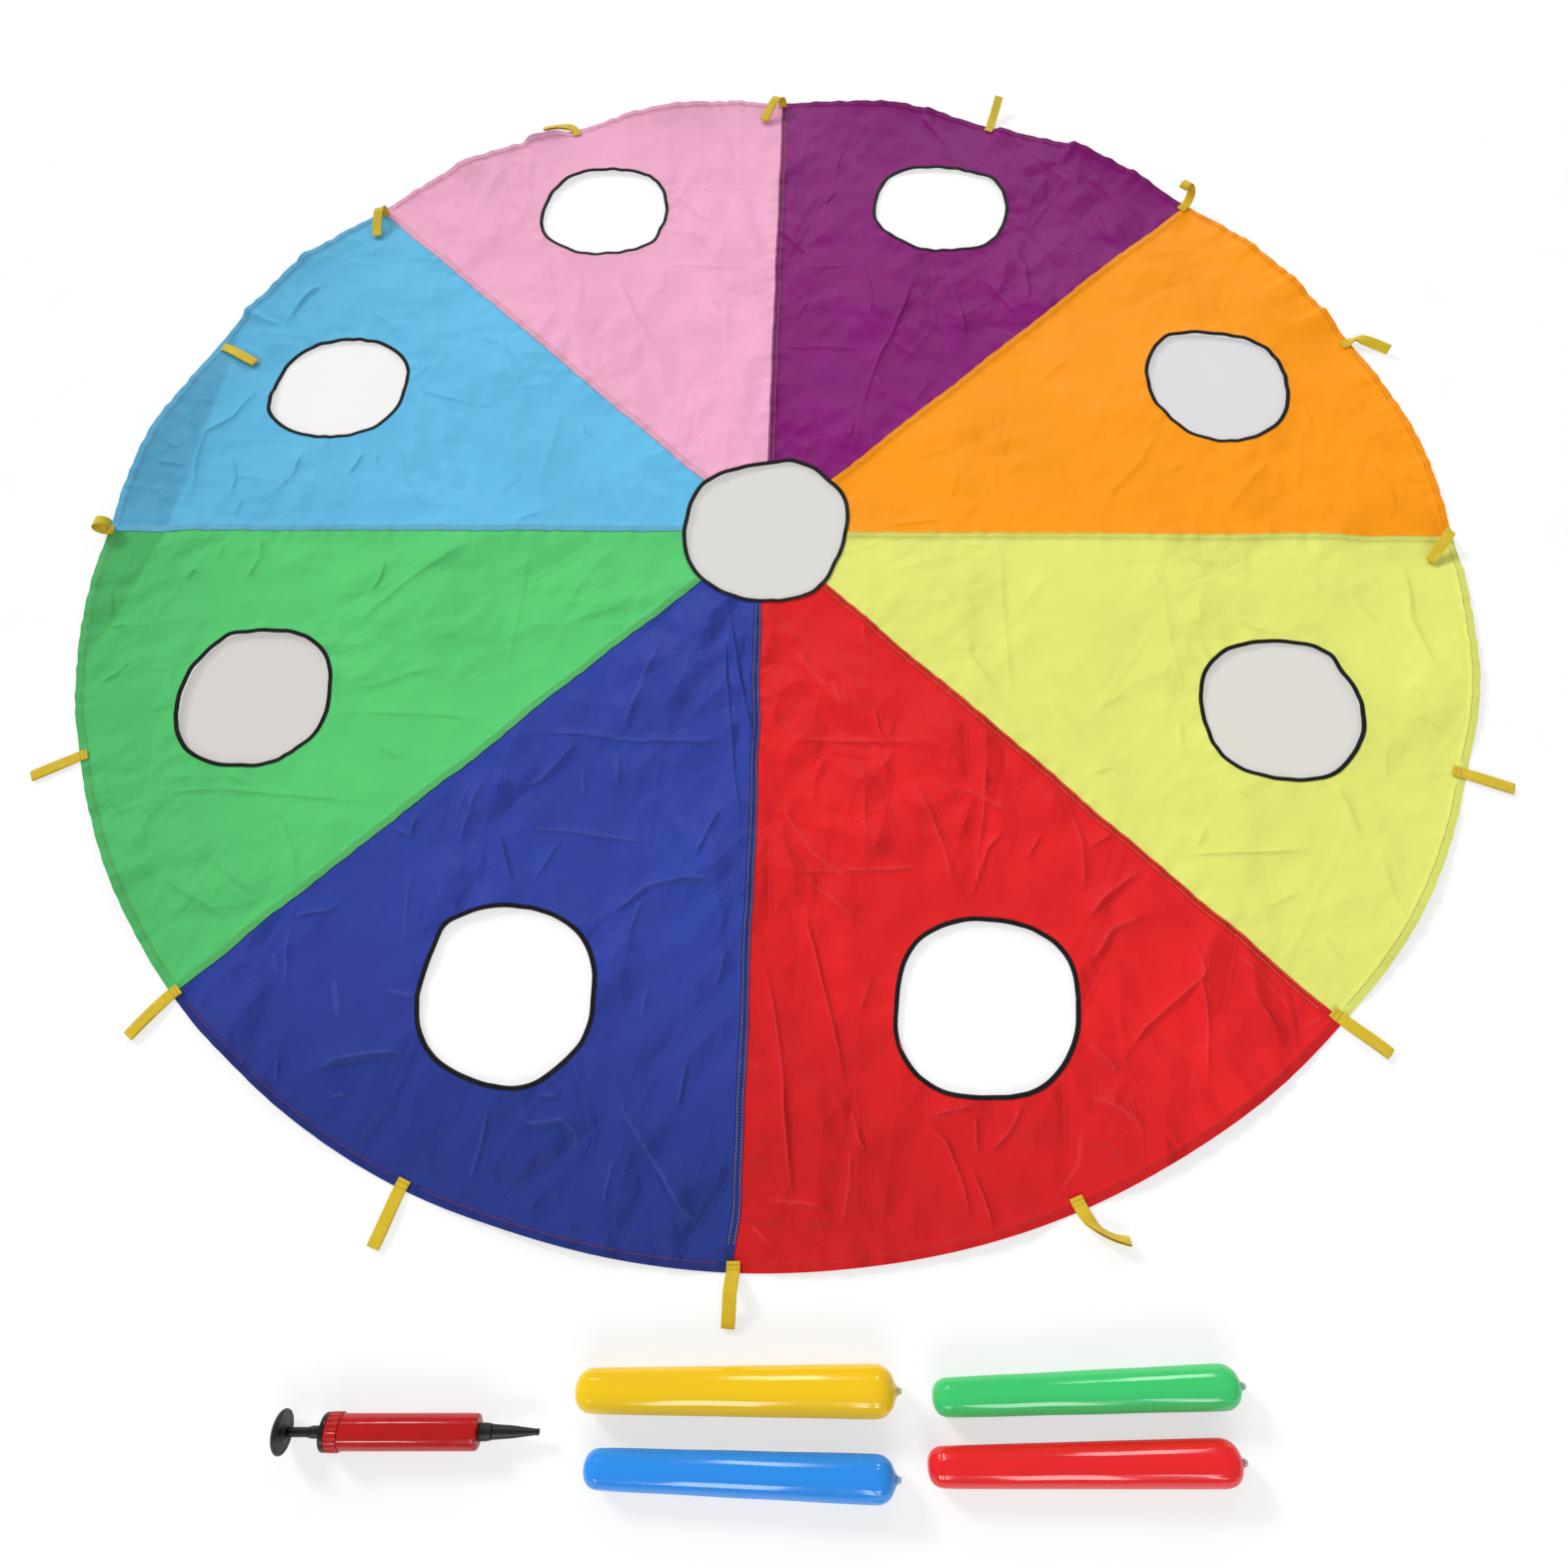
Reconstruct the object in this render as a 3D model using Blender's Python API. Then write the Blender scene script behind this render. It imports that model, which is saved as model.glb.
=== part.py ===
"""Play parachute, laid out on the floor, with its four inflatable bats and its hand pump.

Eight cloth panels are lapped at their seams, hemmed round the rim and bound with tape round nine
openings. Sixteen webbing loops are sewn on the hem. Metres, +Z up, floor at zero. The origin is at
the middle of the whole set's base.
"""
import math

import bmesh
import bpy
from mathutils import Matrix, Vector
from mathutils.geometry import delaunay_2d_cdt

TAU = math.tau
QUARTER = math.pi / 2
WELD = 1e-6
GAP = 0.0003

# Canopy
CANOPY_RADIUS = 1.2
CANOPY_X = 0.006
CANOPY_Y = 0.1242
PANEL_NAMES = ("orange", "purple", "pink", "sky", "green", "royal", "red", "lime")
PANEL_ANGLE = TAU / len(PANEL_NAMES)
CLOTH = 0.0008
SEAM_ALLOWANCE = 0.012
SEAM_STEP = 0.002
HEM_WIDTH = 0.013
HEM_STEP = 0.001
FLUTE_BAND = 0.13
FLUTE_HEIGHT = 0.012
FLUTE_MIDDLE_SHARE = 0.5
# How high each panel's rim stands off the floor, as a share of FLUTE_HEIGHT.
FLUTE_SHARES = (0.45, 0.95, 1.0, 0.85, 0.35, 0.15, 0.15, 0.3)
RIM_STEPS = 8

# Openings and their binding tape
HEAD_HOLE_RADIUS = 0.130
HEAD_HOLE_TO_RIM = 0.157
HEAD_HOLE_SIDES = 20
CENTRE_HOLE_RADIUS = 0.148
CENTRE_STEPS = 3
TAPE = 0.0006
TAPE_WIDTH = 0.007
TAPE_RISE = 0.015

# Webbing loops
HANDLE_COUNT = 16
HANDLE_PITCH = TAU / HANDLE_COUNT
LOOP_LENGTH = 0.091
LOOP_WIDTH = 0.018
WEBBING = 0.0012
HANDLE_GAP = 0.0005
LOOP_GAP = 0.0018
SEWN_LENGTH = 0.015
STRAIGHT_STATIONS = 4
TURN_PER_STATION = 0.8
TURN_SHARE = 0.45
BEND_WEIGHT = 0.09
# Each loop's lie on the floor, from its stitches on: outward, sideways and up as shares of
# LOOP_LENGTH, then the webbing's tilt in degrees.
LOOP_PATH_SHARES = (
    ((0.01, 0, 0.09, 0), (0, -0.03, 0.18, 0), (-0.07, -0.12, 0.22, 0), (-0.20, -0.30, 0.15, 0),
     (-0.35, -0.50, 0.06, 0), (-0.42, -0.60, 0.04, 0)),
    ((0.12, 0, 0.01, 0), (0.25, -0.02, 0.07, -30), (0.40, -0.11, 0.09, 15), (0.58, -0.31, 0.08, 45),
     (0.77, -0.59, 0.08, 45)),
    ((0.12, 0, 0.01, 0), (0.26, 0.02, 0.07, 0), (0.31, 0.04, 0.20, 0), (0.28, 0.08, 0.34, 0),
     (0.20, 0.11, 0.45, 0), (0.08, 0.12, 0.47, 0), (0.02, 0.12, 0.39, 0)),
    ((0.13, 0, 0, 0), (0.40, 0.03, 0.06, 5), (0.70, 0.06, 0.16, 8), (0.94, 0.09, 0.24, 10)),
    ((0.01, 0, 0.09, 0), (0, 0.04, 0.18, 0), (-0.08, 0.13, 0.22, 0), (-0.24, 0.24, 0.15, 0),
     (-0.42, 0.34, 0.07, 0), (-0.54, 0.40, 0.04, 0)),
    ((0.12, 0, 0, 0), (0.27, 0.07, 0.02, 0), (0.36, 0.24, 0.03, 10), (0.40, 0.46, 0.05, 20),
     (0.43, 0.72, 0.05, 20)),
    ((0.01, 0, 0.09, 0), (0, 0.04, 0.18, 0), (-0.06, 0.14, 0.22, 0), (-0.20, 0.30, 0.16, 0),
     (-0.38, 0.47, 0.08, 0), (-0.52, 0.58, 0.04, 0)),
    ((-0.12, 0, 0.01, 0), (-0.40, 0.05, 0.04, 0), (-0.70, 0.10, 0.04, 0), (-0.98, 0.14, 0.03, 0)),
    ((0.09, 0, 0, 0), (0.17, 0, 0.03, 0), (0.21, 0, 0.11, 0), (0.17, 0, 0.19, 0), (0.09, -0.01, 0.22, 0),
     (0.01, -0.015, 0.18, 0), (0, -0.02, 0.10, 0), (0.06, -0.025, 0.07, 0), (0.11, -0.03, 0.10, 0)),
    ((0.12, 0, 0, 0), (0.40, 0.03, 0, 0), (0.70, 0.06, 0, 0), (0.99, 0.09, 0, 0)),
    ((0.12, 0, 0, 0), (0.40, 0.04, 0.02, 0), (0.70, 0.09, 0.03, 5), (0.96, 0.13, 0.02, 5)),
    ((0.12, 0, 0, 0), (0.40, 0.03, 0.02, 5), (0.70, 0.06, 0.02, 5), (0.98, 0.08, 0.01, 0)),
    ((0.12, 0, 0.03, 0), (0.30, -0.01, 0.21, 0), (0.42, -0.02, 0.20, 0), (0.64, -0.03, 0.09, 0),
     (0.85, -0.04, 0.01, 0)),
    ((0.12, 0, 0.01, 0), (0.34, 0.02, 0.06, -25), (0.54, 0.10, 0.10, -55), (0.72, 0.26, 0.11, -60),
     (0.86, 0.47, 0.10, -50)),
    ((0.12, 0, 0, 0), (0.40, 0.02, 0.01, 0), (0.70, 0.05, 0.02, -5), (0.99, 0.07, 0.02, -5)),
    ((0.12, 0, 0, 0), (0.40, 0.01, 0.01, 0), (0.70, 0.02, 0.01, 0), (0.99, 0.03, 0.01, 0)),
)

# Inflatable bats
BAT_LENGTH = 0.385
BAT_SMALL_RADIUS = 0.0224
BAT_LARGE_RADIUS = 0.0265
BAT_END_SHARE = 0.95
BAT_END_POWER = 0.85
BAT_END_STEPS = 3
BAT_SIDES = 16
FILM = 0.001
VALVE_RADIUS = 0.004
VALVE_WALL = 0.0016
VALVE_INSIDE = 0.008
VALVE_OUTSIDE = 0.0045
VALVE_FLANGE = 0.0008
VALVE_FLANGE_RADIUS = 0.007
PLUG_LENGTH = 0.007
PLUG_CAP = 0.0025
PLUG_CAP_RADIUS = 0.0038
VALVE_SIDES = 8
BAT_ROW_GAP = 0.028
BAT_COLUMN_GAP = 0.035
BAT_TO_LOOP = 0.026
BAT_COLUMN_X = -0.178
# Each bat: its column and row, its nudges along and across as shares of BAT_LARGE_RADIUS, its turn
# in degrees, its length as a share of BAT_LENGTH, and its thickness as a share of the radii above.
BAT_LAYOUT_SHARES = {
    "yellow": (0, 0, -0.37, -0.29, 1.6, 1.029, 1.13),
    "green": (1, 0, 0.18, -0.12, 3.6, 0.977, 0.97),
    "blue": (0, 1, 0.31, -0.33, 0.0, 0.978, 0.99),
    "red": (1, 1, -0.12, 0.18, 2.5, 0.971, 0.99),
}

# Hand pump, along its axis from the knob to the nozzle's tip
PUMP_SIDES = 18
PUMP_SMALL_SIDES = 12
KNOB_RADIUS = 0.0258
KNOB_DOME = 0.010
DOME_STEPS = 4
KNOB_RIM = 0.003
KNOB_LENGTH = 0.016
KNOB_HUB_RADIUS = 0.0088
KNOB_SOCKET = 0.009
ROD_RADIUS = 0.0056
ROD_SHOWN = 0.026
ROD_CHAMFER = 0.001
BUSH_RADIUS = 0.0072
BUSH_LENGTH = 0.0185
CAP_STAND = 0.0015
CAP_LENGTH = 0.007
CAP_ROUND = 0.004
CAP_SPIGOT = 0.006
COLLAR_STAND = 0.0019
COLLAR_LENGTH = 0.016
COLLAR_RIBS = 16
RIB_DEPTH = 0.0008
RIB_CREST_SHARE = 0.5
BARREL_RADIUS = 0.0204
BARREL_WALL = 0.002
BARREL_LENGTH = 0.169
BARREL_SHOULDER = 0.005
NECK_STEP = 0.0008
AIR_HOLE_RADIUS = 0.0022
BOSS_RADIUS = 0.0062
BOSS_LENGTH = 0.004
PISTON_LENGTH = 0.010
PISTON_SOCKET = 0.006
PISTON_TO_END = 0.0105
SEAL_WIDTH = 0.0025
SEAL_DEPTH = 0.0022
SEAL_STAND = 0.0006
DISC = 0.001
BASE_RADIUS = 0.0101
BASE_LENGTH = 0.016
BASE_FLANGE = 0.010
BASE_FRONT_RADIUS = 0.0090
BASE_SEAT = 0.0024
NOZZLE_RADIUS = 0.0086
NOZZLE_TIP_RADIUS = 0.0036
NOZZLE_LENGTH = 0.058
NOZZLE_SPIGOT = 0.0074
NOZZLE_SPIGOT_RADIUS = 0.005
NOZZLE_BORE = 0.002
# The nozzle's taper: shares of NOZZLE_LENGTH, and of the way from its wide to its narrow radius.
NOZZLE_TAPER_SHARES = ((0.0, 0.0), (0.45, 0.33), (0.78, 0.80), (0.96, 1.0))
PUMP_TO_BAT = 0.051
PUMP_NUDGE = -0.0224
PUMP_TURN = 1.6
FLOOR_GAP = 0.0002

COLOURS = {
    "orange": (255, 150, 25),
    "purple": (135, 38, 120),
    "pink": (240, 170, 205),
    "sky": (90, 185, 230),
    "green": (75, 200, 105),
    "royal": (50, 60, 155),
    "red": (228, 38, 40),
    "lime": (220, 232, 110),
    "tape_black": (18, 18, 20),
    "webbing_yellow": (225, 195, 40),
    "bat_yellow": (240, 205, 20),
    "bat_green": (70, 200, 120),
    "bat_blue": (50, 150, 240),
    "bat_red": (235, 40, 45),
    "valve_clear": (215, 218, 220),
    "pump_black": (28, 28, 30),
    "pump_red": (200, 25, 25),
    "seal_black": (15, 15, 15),
}
FULL_VALUE = 255


def material(name, roughness):
    """Returns the material of a colour, made the first time it is asked for."""
    found = bpy.data.materials.get(name)
    if found:
        return found
    made = bpy.data.materials.new(name)
    made.use_nodes = True
    shader = made.node_tree.nodes["Principled BSDF"]
    linear = [(channel / FULL_VALUE) ** 2.2 for channel in COLOURS[name]]
    shader.inputs["Base Color"].default_value = (*linear, 1)
    shader.inputs["Roughness"].default_value = roughness
    shader.inputs["Metallic"].default_value = 0
    return made


def finish(name, bm, colour, roughness, parent=None):
    """Turns a bmesh into a named object with its own material."""
    bmesh.ops.recalc_face_normals(bm, faces=bm.faces)
    bmesh.ops.triangulate(bm, faces=bm.faces)
    mesh = bpy.data.meshes.new(name)
    bm.to_mesh(mesh)
    bm.free()
    mesh.shade_smooth()
    mesh.set_sharp_from_angle(angle=math.radians(40))
    mesh.materials.append(material(colour, roughness))
    made = bpy.data.objects.new(name, mesh)
    made.parent = parent
    bpy.context.scene.collection.objects.link(made)
    return made


def guide(name, matrix, parent=None):
    """An empty that carries pieces placed along one axis."""
    made = bpy.data.objects.new(name, None)
    made.empty_display_size = KNOB_LENGTH
    made.parent = parent
    made.matrix_local = matrix
    bpy.context.scene.collection.objects.link(made)
    return made


def turned(name, profile, sides, colour, roughness, parent, ring=False):
    """Revolves (along, radius) points about the local X axis. A ring's profile closes on itself."""
    bm = bmesh.new()
    verts = [bm.verts.new((along, 0, radius)) for along, radius in profile]
    pairs = list(zip(verts, verts[1:]))
    if ring:
        pairs.append((verts[-1], verts[0]))
    edges = [bm.edges.new(pair) for pair in pairs]
    bmesh.ops.spin(bm, geom=verts + edges, cent=(0, 0, 0), axis=(1, 0, 0), angle=TAU, steps=sides,
                   use_merge=True)
    bmesh.ops.remove_doubles(bm, verts=bm.verts, dist=WELD)
    return finish(name, bm, colour, roughness, parent)


# Canopy

CENTRE_CUT = CENTRE_HOLE_RADIUS + TAPE + GAP
HEAD_CUT = HEAD_HOLE_RADIUS + TAPE + GAP
TAPE_LIFT = TAPE + GAP
LAP = CLOTH + GAP
HEM_LINE = CANOPY_RADIUS - HEM_WIDTH
HEAD_HOLE_RING = CANOPY_RADIUS - HEAD_HOLE_TO_RIM - HEAD_HOLE_RADIUS
HOLE_PLACE = HEAD_HOLE_RING * Vector((math.cos(PANEL_ANGLE / 2), math.sin(PANEL_ANGLE / 2)))
FAR_SEAM_RUN = Vector((math.cos(PANEL_ANGLE), math.sin(PANEL_ANGLE)))


def polar(radius, angle):
    return Vector((radius * math.cos(angle), radius * math.sin(angle)))


def arc(radius, start, end, steps):
    return [polar(radius, start + (end - start) * i / steps) for i in range(steps + 1)]


def ease_down(distance, flat, ramp):
    """One up to flat, then falling to zero over the ramp."""
    return min(1.0, max(0.0, (flat + ramp - distance) / ramp))


def lift(point, flute):
    """How far the whole cloth stands off the floor: over the tape's lower leg and in the rim's flutes."""
    radius = point.length
    over_centre = ease_down(radius, CENTRE_HOLE_RADIUS + TAPE_WIDTH + GAP, TAPE_RISE)
    over_head = ease_down((point - HOLE_PLACE).length, HEAD_HOLE_RADIUS + TAPE_WIDTH + GAP, TAPE_RISE)
    near_rim = max(0.0, (radius - CANOPY_RADIUS + FLUTE_BAND) / FLUTE_BAND)
    wave = math.sin(math.pi * math.atan2(point.y, point.x) / HANDLE_PITCH) ** 4
    return TAPE_LIFT * max(over_centre, over_head) + flute * near_rim ** 2 * wave


def far_seam(point):
    """Distance from the seam at the panel's raised edge."""
    return FAR_SEAM_RUN.y * point.x - FAR_SEAM_RUN.x * point.y


def bottom(point, flute):
    raised = ease_down(far_seam(point), SEAM_ALLOWANCE + GAP, SEAM_STEP)
    return lift(point, flute) + LAP * raised


def top(point, flute):
    """The upper face: one thickness of cloth, and a second one in the hem between the seams."""
    in_hem = 1 - ease_down(point.length, HEM_LINE - HEM_STEP, HEM_STEP)
    past_near_seam = 1 - ease_down(point.y, GAP, HEM_STEP)
    before_far_seam = 1 - ease_down(far_seam(point), SEAM_ALLOWANCE + GAP, SEAM_STEP)
    return bottom(point, flute) + CLOTH * (1 + in_hem * past_near_seam * before_far_seam)


def panel_plan():
    """The flat pattern of one panel as triangles, from its seam on the X axis to PANEL_ANGLE."""
    points = []
    edges = []

    def line(run, closed=False):
        first = len(points)
        points.extend(run)
        ids = list(range(first, len(points)))
        edges.extend(zip(ids, ids[1:]))
        if closed:
            edges.append((ids[-1], ids[0]))
        return ids

    def ring(radius, steps):
        return [polar(radius, -math.asin(SEAM_ALLOWANCE / radius))] + arc(radius, 0, PANEL_ANGLE, steps)

    outline = line(ring(CANOPY_RADIUS, RIM_STEPS) + ring(CENTRE_CUT, CENTRE_STEPS)[::-1], closed=True)
    tape_edge = CENTRE_HOLE_RADIUS + TAPE_WIDTH + GAP
    line(ring(tape_edge, CENTRE_STEPS))
    line(ring(tape_edge + TAPE_RISE, CENTRE_STEPS))
    for radius in (CANOPY_RADIUS - FLUTE_BAND, CANOPY_RADIUS - FLUTE_BAND * FLUTE_MIDDLE_SHARE,
                   HEM_LINE - HEM_STEP, HEM_LINE):
        line(ring(radius, RIM_STEPS))
    along = FAR_SEAM_RUN
    across = Vector((along.y, -along.x))
    for distance in (SEAM_ALLOWANCE + GAP, SEAM_ALLOWANCE + GAP + SEAM_STEP):
        line([along * CENTRE_HOLE_RADIUS + across * distance, along * CANOPY_RADIUS + across * distance])
    for distance in (GAP, GAP + HEM_STEP):
        line([Vector((HEM_LINE - HEM_STEP, distance)), Vector((CANOPY_RADIUS + HEM_STEP, distance))])
    turns = [TAU * i / HEAD_HOLE_SIDES for i in range(HEAD_HOLE_SIDES)]
    head_edge = HEAD_HOLE_RADIUS + TAPE_WIDTH + GAP
    for radius in (HEAD_CUT, head_edge, head_edge + TAPE_RISE):
        line([HOLE_PLACE + polar(radius, turn) for turn in turns], closed=True)

    plan = delaunay_2d_cdt(points, edges, [outline], 1, WELD)
    inside_hole = HEAD_CUT * math.cos(math.pi / HEAD_HOLE_SIDES)
    faces = []
    for face in plan[2]:
        middle = sum((plan[0][i] for i in face), Vector((0, 0))) / len(face)
        if (middle - HOLE_PLACE).length > inside_hole:
            faces.append(face)
    return plan[0], faces


def panel_mesh(plan, flute):
    """Gives the flat pattern its lower face, upper face and edges."""
    points, faces = plan
    bm = bmesh.new()
    lower = [bm.verts.new((p.x, p.y, bottom(p, flute))) for p in points]
    upper = [bm.verts.new((p.x, p.y, top(p, flute))) for p in points]
    sides = {}
    for face in faces:
        bm.faces.new([upper[i] for i in face])
        bm.faces.new([lower[i] for i in reversed(face)])
        for a, b in zip(face, face[1:] + face[:1]):
            if (b, a) in sides:
                del sides[b, a]
            else:
                sides[a, b] = True
    for a, b in sides:
        bm.faces.new((lower[a], lower[b], upper[b], upper[a]))
    loose = [v for v in bm.verts if not v.link_faces]
    bmesh.ops.delete(bm, geom=loose, context="VERTS")
    return bm


def binding(name, radius, height, sides, place, parent):
    """Tape folded over the cloth's edge: a ring of U section, open away from the hole."""
    outside = radius + TAPE_WIDTH
    section = [(outside, 0), (radius, 0), (radius, height), (outside, height), (outside, height - TAPE),
               (radius + TAPE, height - TAPE), (radius + TAPE, TAPE), (outside, TAPE)]
    bm = bmesh.new()
    verts = [bm.verts.new((along, 0, up)) for along, up in section]
    edges = [bm.edges.new(pair) for pair in zip(verts, verts[1:] + verts[:1])]
    bmesh.ops.spin(bm, geom=verts + edges, cent=(0, 0, 0), axis=(0, 0, 1), angle=TAU, steps=sides,
                   use_merge=True)
    made = finish(name, bm, "tape_black", 0.7, parent)
    made.location = place
    return made


def build_canopy(parent):
    plan = panel_plan()
    for number, name in enumerate(PANEL_NAMES):
        turn = PANEL_ANGLE * number
        cloth = panel_mesh(plan, FLUTE_HEIGHT * FLUTE_SHARES[number])
        panel = finish(f"panel_{name}", cloth, name, 0.55, parent)
        panel.rotation_euler.z = turn
        hole = polar(HEAD_HOLE_RING, turn + PANEL_ANGLE / 2).to_3d()
        ring = binding(f"head_hole_binding_{name}", HEAD_HOLE_RADIUS, 2 * TAPE_LIFT + CLOTH,
                       HEAD_HOLE_SIDES, hole, parent)
        ring.rotation_euler.z = turn
    binding("centre_hole_binding", CENTRE_HOLE_RADIUS, 2 * TAPE_LIFT + LAP + CLOTH,
            CENTRE_STEPS * len(PANEL_NAMES), (0, 0, 0), parent)


# Webbing loops

def smooth_path(shares, fineness=12):
    """A curve through a loop's points as (place, tilt) pairs, scaled to the loop's real length."""
    knots = [Vector((0, 0, 0, shares[0][3]))] + [Vector(share) for share in shares]
    knots = [2 * knots[0] - knots[1]] + knots + [2 * knots[-1] - knots[-2]]
    run = []
    for a, b, c, d in zip(knots, knots[1:], knots[2:], knots[3:]):
        for i in range(fineness):
            t = i / fineness
            run.append((2 * b + (c - a) * t + (2 * a - 5 * b + 4 * c - d) * t * t
                        + (3 * b - a - 3 * c + d) * t ** 3) / 2)
    run.append(knots[-2])
    places = [v.to_3d() for v in run]
    length = sum((q - p).length for p, q in zip(places, places[1:]))
    return [(place * (LOOP_LENGTH / length), math.radians(v.w)) for place, v in zip(places, run)]


def loop_frames(shares):
    """Places along a loop, each with its run, width and thickness directions, and its distance."""
    path = smooth_path(shares)
    runs = [(path[min(i + 1, len(path) - 1)][0] - path[max(i - 1, 0)][0]).normalized()
            for i in range(len(path))]
    distances = [0.0]
    weights = [0.0]
    bends = 0.0
    for i in range(1, len(path)):
        step = (path[i][0] - path[i - 1][0]).length
        distances.append(distances[-1] + step)
        bend = runs[i].angle(runs[i - 1])
        bends += bend
        weights.append(weights[-1] + step / LOOP_LENGTH + BEND_WEIGHT * bend)
    stations = STRAIGHT_STATIONS + round(bends / TURN_PER_STATION)
    heading = (math.atan2(runs[-1].y, runs[-1].x) + QUARTER) % math.pi - QUARTER

    def at(distance):
        i = max(1, next((i for i, d in enumerate(distances) if d >= distance), len(path) - 1))
        t = (distance - distances[i - 1]) / (distances[i] - distances[i - 1])
        place = path[i - 1][0].lerp(path[i][0], t)
        run = runs[i - 1].lerp(runs[i], min(1.0, max(0.0, t))).normalized()
        tilt = path[i - 1][1] + (path[i][1] - path[i - 1][1]) * t
        share = min(1.0, max(0.0, distance / LOOP_LENGTH / TURN_SHARE))
        turn = heading * share * share * (3 - 2 * share)
        width = Vector((-math.sin(turn) * math.cos(tilt), math.cos(turn) * math.cos(tilt), math.sin(tilt)))
        width = (width - run * width.dot(run)).normalized()
        return place, width, run.cross(width)

    def weighted(share):
        """The distance at a share of the way, with more stations where the webbing bends."""
        sewn = weight_at(SEWN_LENGTH)
        wanted = sewn + (weight_at(LOOP_LENGTH - 2 * WEBBING) - sewn) * share
        i = max(1, next((i for i, w in enumerate(weights) if w >= wanted), len(weights) - 1))
        t = (wanted - weights[i - 1]) / (weights[i] - weights[i - 1])
        return distances[i - 1] + (distances[i] - distances[i - 1]) * t

    def weight_at(distance):
        i = max(1, next((i for i, d in enumerate(distances) if d >= distance), len(distances) - 1))
        t = (distance - distances[i - 1]) / (distances[i] - distances[i - 1])
        return weights[i - 1] + (weights[i] - weights[i - 1]) * t

    return at, [weighted(i / stations) for i in range(1, stations + 1)]


def loop_mesh(shares):
    """A doubled strap: two layers sewn together at the hem, parting into a flat loop."""
    at, distances = loop_frames(shares)
    bm = bmesh.new()
    round_off = WEBBING * math.cos(QUARTER / 2)

    def pair(distance, offset):
        place, width, thick = at(distance)
        middle = place + thick * offset
        half = width * (LOOP_WIDTH / 2)
        return bm.verts.new(middle + half), bm.verts.new(middle - half)

    def slot(distance):
        """Half the room between the layers: none at the stitches, most near the loop's end."""
        share = (distance - SEWN_LENGTH) / (LOOP_LENGTH - SEWN_LENGTH)
        return LOOP_GAP / 2 * math.sqrt(max(0.0, math.sin(math.pi * share ** 1.5)) + share / 2)

    heel = [pair(-round_off, -round_off), pair(-WEBBING, 0), pair(-round_off, round_off)]
    low_start, high_start = pair(0, -WEBBING), pair(0, WEBBING)
    low_sewn, high_sewn = pair(SEWN_LENGTH, -WEBBING), pair(SEWN_LENGTH, WEBBING)
    low = [pair(d, -WEBBING - slot(d)) for d in distances]
    high = [pair(d, WEBBING + slot(d)) for d in distances]
    slot_start = pair(SEWN_LENGTH, 0)
    slot_low = [pair(d, -slot(d)) for d in distances]
    slot_high = [pair(d, slot(d)) for d in distances]
    slot_end = pair(LOOP_LENGTH - WEBBING, 0)
    toe_low, toe, toe_high = (pair(LOOP_LENGTH - WEBBING / 2, -WEBBING / 2 - slot(distances[-1])),
                              pair(LOOP_LENGTH, 0),
                              pair(LOOP_LENGTH - WEBBING / 2, WEBBING / 2 + slot(distances[-1])))

    outer = ([heel[1], heel[0], low_start, low_sewn] + low + [toe_low, toe, toe_high] + high[::-1]
             + [high_sewn, high_start, heel[2]])
    inner = [slot_start] + slot_high + [slot_end] + slot_low[::-1]
    for loop in (outer, inner):
        for a, b in zip(loop, loop[1:] + loop[:1]):
            bm.faces.new((a[0], b[0], b[1], a[1]))
    for side in (0, 1):
        faces = [[heel[1], heel[0], low_start, high_start, heel[2]],
                 [low_start, low_sewn, slot_start, high_sewn, high_start],
                 [low[-1], toe_low, toe, slot_end, slot_low[-1]],
                 [high[-1], slot_high[-1], slot_end, toe, toe_high]]
        lows = [low_sewn] + low
        highs = [high_sewn] + high
        inner_lows = [slot_start] + slot_low
        inner_highs = [slot_start] + slot_high
        for i in range(len(distances)):
            faces.append([lows[i], lows[i + 1], inner_lows[i + 1], inner_lows[i]])
            faces.append([highs[i], inner_highs[i], inner_highs[i + 1], highs[i + 1]])
        for face in faces:
            corners = [corner[side] for corner in face]
            bm.faces.new(corners if side else corners[::-1])
    return bm


def build_handles(parent):
    for number, shares in enumerate(LOOP_PATH_SHARES):
        turn = HANDLE_PITCH * number
        on_seam = number % 2 == 0
        seat = LAP + CLOTH if on_seam else 2 * CLOTH
        handle = finish(f"handle_{number + 1:02d}", loop_mesh(shares), "webbing_yellow", 0.75, parent)
        handle.location = polar(HEM_LINE, turn).to_3d() + Vector((0, 0, seat + HANDLE_GAP + WEBBING))
        handle.rotation_euler.z = turn


# Bats

def bat_end(radius):
    """A blown end as (depth, radius) points, from the axis outward."""
    depth = radius * BAT_END_SHARE
    points = []
    for i in range(BAT_END_STEPS + 1):
        turn = QUARTER * i / BAT_END_STEPS
        points.append((depth * (1 - math.cos(turn) ** BAT_END_POWER),
                       radius * math.sin(turn) ** BAT_END_POWER))
    return points


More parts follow.
